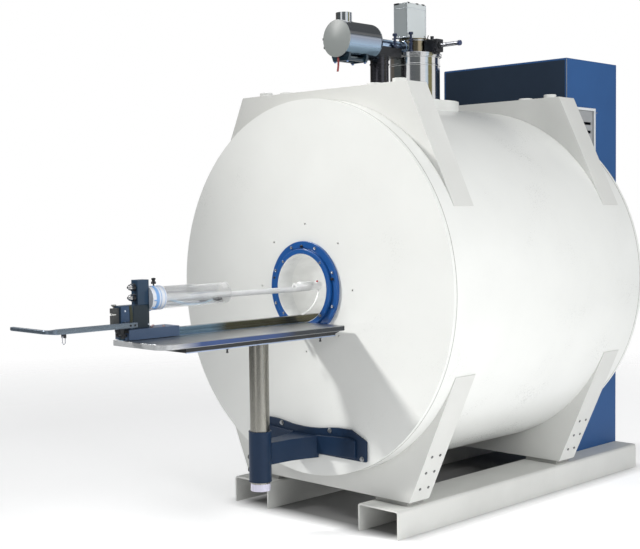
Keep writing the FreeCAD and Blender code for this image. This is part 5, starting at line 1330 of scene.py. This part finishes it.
class SCANNER_OT_sample_tube(bpy.types.Operator):
    """Clear tube with its end cap and hose, and the bed with its head holder"""
    bl_idname = "scanner.sample_tube"
    bl_label = "Tube and bed"

    def execute(self, context):
        low, high = span("tube_end_cap")
        axis_z, axis_x = (low.z + high.z) / 2, (low.x + high.x) / 2
        white = plastic("cap_moulding", (0.70, 0.73, 0.78), 0.28, 1400, 0.1)
        dress("tube_end_cap", white, 1.2)
        marks = bmesh.new()
        for level, wide in ((17, 15), (40, 3), (60, 2)):
            hoop(marks, (axis_x, low.y + level, axis_z), "y", 46.7, 47.6, wide, 0.3)
        for index in range(3):
            angle = math.radians(-8 - 40 * index)
            x, z = 47.2 * math.cos(angle), axis_z + 47.2 * math.sin(angle)
            sweep(marks, [(x, low.y + 6, z), (x, low.y + 14, z), (x, low.y + 20, z)],
                oblong(5, 5, 1.5))
        piece("cap_marks", marks, plastic("mark_blue", (0.20, 0.38, 0.70), 0.35), "carriage")
        low_t, high_t = span("clear_tube")
        reach, outer = high_t.y - low_t.y, (high_t.x - low_t.x) / 2
        tube = bmesh.new()
        line = [(outer - 3, 0), (outer, 0), (outer, reach - 9), (outer + 0.8, reach - 8),
            (outer + 0.8, reach - 1), (outer, reach), (outer - 3, reach)]
        turn(tube, (axis_x, low_t.y, axis_z), "y", softened(line, 0.8, True, 3), 128, True)
        piece("acrylic_tube", tube, clear("clear_acrylic", (0.93, 0.95, 0.97)), "carriage",
            stands_for=["clear_tube"])
        hose = bmesh.new()
        inside = outer - 3 - size("hose") / 2 - 0.6
        path = smooth_through([(12, low_t.y + 2, axis_z + 12), (14, low_t.y + 60, axis_z - 2),
            (12, low_t.y + 130, axis_z - 20), (8, low_t.y + 200, axis_z - inside + 2),
            (6, low_t.y + 270, axis_z - inside + 3), (10, low_t.y + 320, axis_z - 22)], 8)
        sweep(hose, path, circle(size("hose") / 2, 16))
        piece("sample_hose", hose, plastic("hose_blue", (0.55, 0.72, 0.88), 0.25), "carriage")
        second = bmesh.new()
        path = smooth_through([(-12, low_t.y + 2, axis_z - 24), (-14, low_t.y + 90, axis_z - 30),
            (-10, low_t.y + 190, axis_z - 31), (-4, low_t.y + 262, axis_z - 28)], 8)
        sweep(second, path, circle(2.6, 12))
        piece("sample_line", second, plastic("line_white", (0.78, 0.80, 0.84), 0.3), "carriage")
        plug = bmesh.new()
        turn(plug, (10, low_t.y + 318, axis_z - 22), "y",
            softened([(0, -4), (5, -4), (5, 12), (8, 14), (8, 34), (6, 36), (6, 44), (0, 46)], 1),
            32)
        turn(plug, (10, low_t.y + 342, axis_z - 14.5), "z",
            softened([(0, 0), (4, 0), (4, 7), (0, 8)], 0.8), 24)
        turn(plug, (-4, low_t.y + 256, axis_z - 28), "y",
            softened([(0, 0), (6, 0), (6, 26), (3, 27), (3, 42), (0, 43)], 1), 24)
        piece("tube_fitting", plug, black_parts(), "carriage")
        low_k, high_k = span("tube_clamp_screw")
        clamp = bmesh.new()
        centre = middle("tube_clamp_screw")
        turn(clamp, (centre.x, centre.y, low_k.z), "z", [(0, 0), (2.8, 0), (2.8, 11), (0, 11)], 24)
        knurled(clamp, (centre.x, centre.y, high_k.z - 24), "z", 9.8, 9, 12)
        turn(clamp, (centre.x, centre.y, high_k.z - 15.4), "z",
            softened([(0, 0), (6.2, 0), (6.2, 6), (8.4, 8), (8.4, 14), (0, 15.4)], 1), 32)
        piece("tube_knob", clamp, black_parts(), "tube_clamp_screw",
            stands_for=["tube_clamp_screw"])
        bed = plastic("bed_plastic", (0.80, 0.805, 0.81), 0.3, 1500, 0.08, Transmission_Weight=0.3,
            IOR=1.46)
        dress("animal_bed", bed, 0.5)
        holder = plastic("holder_white", (0.88, 0.885, 0.89), 0.35, 1500, 0.1)
        dress("head_holder", holder, 0.4)
        high_h = span("head_holder")[1]
        bed_high = span("animal_bed")[1]
        ridges = bmesh.new()
        at = bed_high.y + 4
        while at < high_h.y - 6:
            hoop(ridges, (0, at, axis_z), "y", 15.5, 18.2, 3.4, 0.9, 48)
            at += 9.5
        block(ridges, (-9, bed_high.y - 62, axis_z + 13), (9, bed_high.y + 20, axis_z + 22), 2)
        piece("holder_ridges", ridges, holder, "carriage")
        dot = bmesh.new()
        turn(dot, (4, high_h.y - 20, axis_z + 17.6), "z",
            softened([(0, 0), (4.4, 0), (4.4, 4), (2.6, 6.4), (0, 6.8)], 0.6), 20)
        piece("sensor_bead", dot, plastic("bead_red", (0.55, 0.012, 0.03), 0.3), "carriage")
        return {"FINISHED"}


class SCANNER_OT_handle(bpy.types.Operator):
    """Handle bar that bends into a round grip, and the clear loop under it"""
    bl_idname = "scanner.handle"
    bl_label = "Handle"

    def execute(self, context):
        low, high = span("handle_bar")
        bar_z, wide, thick, grip = BORE_Z - HANDLE_DROP, 20, 20, 18
        bar_x, end_y = high.x - wide / 2, low.y + grip / 2
        bend = size("bar_bend")
        path = [(bar_x, high.y - 0.5), (bar_x, high.y - 60), (bar_x, high.y - 180),
            (bar_x, end_y + bend + 60), (bar_x, end_y + bend + 26)]
        turned = []
        for degrees in range(0, 91, 9):
            angle = math.radians(degrees)
            turned.append((bar_x - bend + bend * math.cos(angle),
                end_y + bend - bend * math.sin(angle)))
        rest = [(bar_x - bend - 30, end_y), (low.x + 60, end_y), (low.x + 7, end_y),
            (low.x + 2.5, end_y), (low.x + 0.2, end_y)]
        places = path + turned + rest
        flat = oblong(wide, thick, 2.5, 4)
        ring = []
        for a, b in flat:
            angle = math.atan2(b / thick, a / wide)
            ring.append((grip / 2 * math.cos(angle), grip / 2 * math.sin(angle)))
        bar = bmesh.new()
        rows = []
        for index, (x, y) in enumerate(places):
            before, after = places[max(index - 1, 0)], places[min(index + 1, len(places) - 1)]
            ahead = Vector((after[0] - before[0], after[1] - before[1], 0)).normalized()
            side = ahead.cross(Z)
            share = min(1.0, max(0.0, (index - len(path) + 1) / 8))
            share = share * share * (3 - 2 * share)
            taper = 1.0
            if index >= len(places) - 2:
                taper = (0.86, 0.55)[index - len(places) + 2]
            rows.append([bar.verts.new(Vector((x, y, bar_z)) + side * taper
                                       * (a + (c - a) * share) + Z * taper
                                       * (b + (d - b) * share))
                         for (a, b), (c, d) in zip(flat, ring)])
        skin(bar, rows)
        bar.faces.new(rows[0][::-1])
        bar.faces.new(rows[-1])
        silver = metal("handle_metal", (0.16, 0.20, 0.25), 0.28, (1, 0.05, 1), 420, 0.08, 0.05,
            0.6)
        piece("handle", bar, silver, "carriage", stands_for=["handle_bar"])
        fittings = bmesh.new()
        half = span("lower_block")[1].x
        block(fittings, (half, high.y - 40, bar_z - thick / 2), (bar_x - wide / 2 + 1, high.y - 5,
            bar_z + thick / 2), 1)
        loop_low, loop_high = span("pull_loop")
        loop_y = (loop_low.y + loop_high.y) / 2
        pin_z = bar_z - thick / 2 - 8
        for x in (bar_x - wide / 2 + 0.2, bar_x + wide / 2 - 3.2):
            block(fittings, (x, loop_y - 5, bar_z - thick / 2 - 13),
                (x + 3, loop_y + 5, bar_z - thick / 2 + 0.5), 0.8)
        turn(fittings, (bar_x - wide / 2, loop_y, pin_z), "x", [(0, 0), (2, 0), (2, wide),
            (0, wide)], 20)
        for y in (high.y - 12, high.y - 33):
            socket_screw(fittings, (bar_x + wide / 2 - 0.2, y, bar_z), "x", 4, 2.4)
        block(fittings, (bar_x - 9.4, high.y - 78, bar_z - thick / 2 - 24),
            (bar_x + 6, high.y - 62, bar_z - thick / 2 + 0.5), 2)
        piece("handle_fittings", fittings, black_steel(), "carriage")
        loop = bmesh.new()
        middle_z = (loop_low.z + loop_high.z) / 2
        wire = loop_high.x - loop_low.x
        tall = (loop_high.z - loop_low.z - wire) / 2
        across = (loop_high.y - loop_low.y - wire) / 2
        track = []
        for index in range(48):
            angle = FULL_TURN * index / 48
            straight = (tall - across) * (1 if math.sin(angle) >= 0 else -1)
            track.append((bar_x, loop_y + across * math.cos(angle),
                middle_z + across * math.sin(angle) + straight))
        sweep(loop, track, circle(wire / 2, 14), True, X)
        piece("clear_loop", loop, plastic("loop_clear", (0.75, 0.76, 0.80), 0.12, 900, 0.03,
            Transmission_Weight=0.6, IOR=1.46), "pull_loop", stands_for=["pull_loop"])
        return {"FINISHED"}


class SCANNER_OT_inside(bpy.types.Operator):
    """Finish the parts inside the vessel"""
    bl_idname = "scanner.inside"
    bl_label = "Inside parts"

    def execute(self, context):
        dress("thermal_shield", metal("shield_metal", (0.78, 0.79, 0.80), 0.3))
        dress("helium_vessel", metal("tank_steel", (0.55, 0.56, 0.57), 0.38))
        dress("suspension_rods", plastic("rod_composite", (0.25, 0.21, 0.10), 0.5))
        dress("coil_former", metal("former_metal", (0.62, 0.63, 0.64), 0.42))
        dress("coil_windings", metal("winding_metal", (0.60, 0.29, 0.13), 0.35, (1, 0.02, 1)))
        dress("gradient_coil", plastic("gradient_resin", (0.40, 0.40, 0.385), 0.45))
        return {"FINISHED"}


# Tones that polished metal mirrors, by degrees round the horizon and above it.
DARK, NAVY, GREY = (0.08, 0.09, 0.09), (0.03, 0.045, 0.08), (0.36, 0.37, 0.38)
BROWN, GOLD, WHITE = (0.13, 0.115, 0.10), (0.28, 0.25, 0.12), (1.0, 1.0, 1.0)
STUDIO_BANDS = ((-180, BROWN), (-162, BROWN), (-158, DARK), (-97, DARK), (-94, WHITE),
    (-75, WHITE), (-71, (0.14, 0.15, 0.16)), (-26, (0.16, 0.17, 0.17)), (-23, WHITE), (-3, WHITE),
    (1, (0.8, 0.9, 1.0)), (11, (0.7, 0.82, 0.95)), (15, GOLD), (34, GOLD), (38, WHITE),
    (55, WHITE), (58, NAVY), (80, NAVY), (85, WHITE), (114, WHITE), (122, GREY), (160, GREY),
    (168, BROWN), (180, BROWN))
STUDIO_CEILING = ((-180, (0.5, 0.5, 0.5)), (-60, (0.7, 0.7, 0.7)), (36, (0.7, 0.7, 0.7)),
    (54, (0.10, 0.105, 0.11)), (130, (0.10, 0.105, 0.11)), (150, (0.5, 0.5, 0.5)),
    (180, (0.5, 0.5, 0.5)))

# The camera's place in metres, its lens in mm and its angles in radians.
CAMERA_PLACE, CAMERA_LENS = (3.706, -3.967, 1.368), 66.87
CAMERA_TURN, CAMERA_PITCH, CAMERA_ROLL = 0.7778, 0.0526, -0.0111
KEY_DISTANCE = 3.2  # metres from the key light to the middle of the magnet's face


class SCANNER_OT_stage(bpy.types.Operator):
    """Pale floor, soft lights, white surroundings and the camera"""
    bl_idname = "scanner.stage"
    bl_label = "Studio"

    def light(self, name, kind, strength, place, aim):
        """A light of a kind at a place, aimed at another."""
        data = bpy.data.lights.new(name, kind)
        data.energy = strength
        made = bpy.data.objects.new(name, data)
        made.location = place
        made.rotation_euler = (Vector(aim) - Vector(place)).to_track_quat("-Z", "Y").to_euler()
        bpy.context.scene.collection.objects.link(made)
        return data

    def lamp(self, name, strength, place, aim, width, height, mirrored=True):
        """A soft box, which reflections may leave out."""
        data = self.light(name, "AREA", strength, place, aim)
        data.shape, data.size, data.size_y = "RECTANGLE", width, height
        made = bpy.context.scene.objects[name]
        made.visible_camera, made.visible_glossy = False, mirrored

    def either(self, tree, share, first, second):
        """One shader or another, by a share."""
        return tree.node("ShaderNodeMixShader", {},
            {0: Term(tree, share), 1: Term(tree, first.outputs[0]),
            2: Term(tree, second.outputs[0])})

    def execute(self, context):
        scene = bpy.context.scene
        stage = scene.scanner_stage
        world = bpy.data.worlds.new("Surroundings")
        scene.world = world
        world.use_nodes = True
        sky = Shading(world.node_tree, "Generated")
        bands = sky.ramp(sky.axis("y").bearing(sky.axis("x")),
            [((degrees + 180) / 360, tone) for degrees, tone in STUDIO_BANDS])
        aloft = sky.ramp(sky.axis("y").bearing(sky.axis("x")),
            [((degrees + 180) / 360, tone) for degrees, tone in STUDIO_CEILING])
        mirrored = sky.blend(sky.axis("z").between(0.22, 0.34), bands, aloft)
        ray = sky.node("ShaderNodeLightPath")
        soft = sky.node("ShaderNodeBackground", {}, {"Color": (0.96, 0.98, 1.0, 1),
            "Strength": stage.sky})
        shine = sky.node("ShaderNodeBackground", {}, {"Color": mirrored, "Strength": 1.0})
        seen = sky.node("ShaderNodeBackground", {}, {"Color": (1, 1, 1, 1), "Strength": 1.0})
        lit = self.either(sky, ray.outputs["Is Glossy Ray"], soft, shine)
        whole = self.either(sky, ray.outputs["Is Camera Ray"], lit, seen)
        sky.feed(sky.tree.nodes["World Output"].inputs["Surface"], Term(sky, whole.outputs[0]))
        toward = Vector((1.0, 1.0, -1.05))
        face = Vector((0, FACE_Y, BORE_Z)) * MM
        place = face - toward * KEY_DISTANCE
        spot = self.light("Key", "SPOT", stage.key, place, (1.1, face.y, 0.9))
        spot.spot_size, spot.spot_blend, spot.shadow_soft_size = math.radians(31), 1.0, 0.3
        spot.color = (1.0, 0.985, 0.96)
        day = self.light("Daylight", "SUN", stage.day, place, place + toward)
        day.angle = math.radians(8)
        self.lamp("Fill", stage.fill, (4.6, -0.5, 2.7), (0.4, 0.2, 1.2), 2.4, 1.8, False)
        self.lamp("Front", stage.front, (2.2, -3.6, 1.7), (0, -0.6, 1.0), 1.2, 1.2, False)
        self.lamp("Bore", stage.bore, (0, 0.1, face.z), face, 0.2, 0.2, False)
        self.lamp("Top", stage.top, (0.5, 0.5, 6.0), (0, 0.3, 1.0), 4.0, 4.0)
        floor = bmesh.new()
        turn(floor, (0, 0, -0.002), "z", [(0, 0), (3, 0), (8, 0)], 64)
        data = bpy.data.meshes.new("Floor")
        floor.to_mesh(data)
        floor.free()
        cover = Finish("Floor_cover", Roughness=0.9, Emission_Strength=1.0)
        across, along = cover.axis("x"), cover.axis("y")
        side = (across * across) ** 0.5
        # Painted shadow: under the machine, between the rails, the floor's colour drops to 0.24
        # and its glow is left out.
        painted_shadow = ((1 - side.between(0.44, 0.60)) * along.between(-0.34,
            -0.20) * (1 - along.between(1.58, 1.76)))
        cover.colour(cover.blend(painted_shadow, cover.blend(cover.noise(1.5), stage.floor,
            shade(stage.floor, 0.985)), (0.24,) * 3))
        cover.feed(cover.shader.inputs["Emission Color"], cover.blend(painted_shadow, (stage.glow,) * 3,
            (0, 0, 0)))
        far = (across * across + along * along) ** 0.5
        bare = cover.node("ShaderNodeBsdfTransparent")
        whole = self.either(cover, far.between(3.0, 6.5).socket, cover.shader, bare)
        cover.feed(cover.tree.nodes["Material Output"].inputs["Surface"],
            Term(cover, whole.outputs[0]))
        data.materials.append(cover.material)
        made = bpy.data.objects.new("Floor", data)
        scene.collection.objects.link(made)
        level = math.cos(CAMERA_PITCH)
        ahead = Vector((-math.sin(CAMERA_TURN) * level, math.cos(CAMERA_TURN) * level,
            -math.sin(CAMERA_PITCH)))
        right = Vector((math.cos(CAMERA_TURN), math.sin(CAMERA_TURN), 0))
        up = right.cross(ahead)
        right = right * math.cos(CAMERA_ROLL) + up * math.sin(CAMERA_ROLL)
        up = right.cross(ahead)
        camera = bpy.data.objects.new("Camera", bpy.data.cameras.new("Camera"))
        camera.data.lens, camera.data.sensor_width = CAMERA_LENS, 36.0
        camera.data.clip_end = 200
        turned = Matrix((right, up, -ahead)).transposed().to_4x4()
        camera.matrix_world = Matrix.Translation(CAMERA_PLACE) @ turned
        scene.collection.objects.link(camera)
        scene.camera = camera
        scene.view_settings.view_transform = "Standard"
        return {"FINISHED"}


OPERATORS = (SCANNER_OT_magnet, SCANNER_OT_bore_rings, SCANNER_OT_frames, SCANNER_OT_cabinet,
    SCANNER_OT_turret, SCANNER_OT_manifold, SCANNER_OT_valve_gear, SCANNER_OT_column,
    SCANNER_OT_table, SCANNER_OT_carriage, SCANNER_OT_sample_tube, SCANNER_OT_handle,
    SCANNER_OT_inside, SCANNER_OT_stage)
GROUPS = {"scanner_sizes": ScannerSizes, "scanner_colours": ScannerColours,
    "scanner_stage": ScannerStage}


class SCANNER_PT_panel(bpy.types.Panel):
    """The scanner's sizes, colours and build steps"""
    bl_idname = "SCANNER_PT_panel"
    bl_label = "Small-bore scanner"
    bl_space_type = "VIEW_3D"
    bl_region_type = "UI"
    bl_category = "Scanner"

    def draw(self, context):
        for name in GROUPS:
            group = getattr(context.scene, name)
            box = self.layout.box()
            for key in group.bl_rna.properties.keys():
                if key not in ("rna_type", "name"):
                    box.prop(group, key)
        for operator in OPERATORS:
            self.layout.operator(operator.bl_idname)


CLASSES = (*GROUPS.values(), *OPERATORS, SCANNER_PT_panel)


def register():
    for made in CLASSES:
        bpy.utils.register_class(made)
    for name, group in GROUPS.items():
        setattr(bpy.types.Scene, name, bpy.props.PointerProperty(type=group))


def unregister():
    for name in GROUPS:
        delattr(bpy.types.Scene, name)
    for made in reversed(CLASSES):
        bpy.utils.unregister_class(made)


def main():
    register()
    for operator in OPERATORS:
        getattr(bpy.ops.scanner, operator.bl_idname.split(".")[1])()


if __name__ == "__main__":
    main()
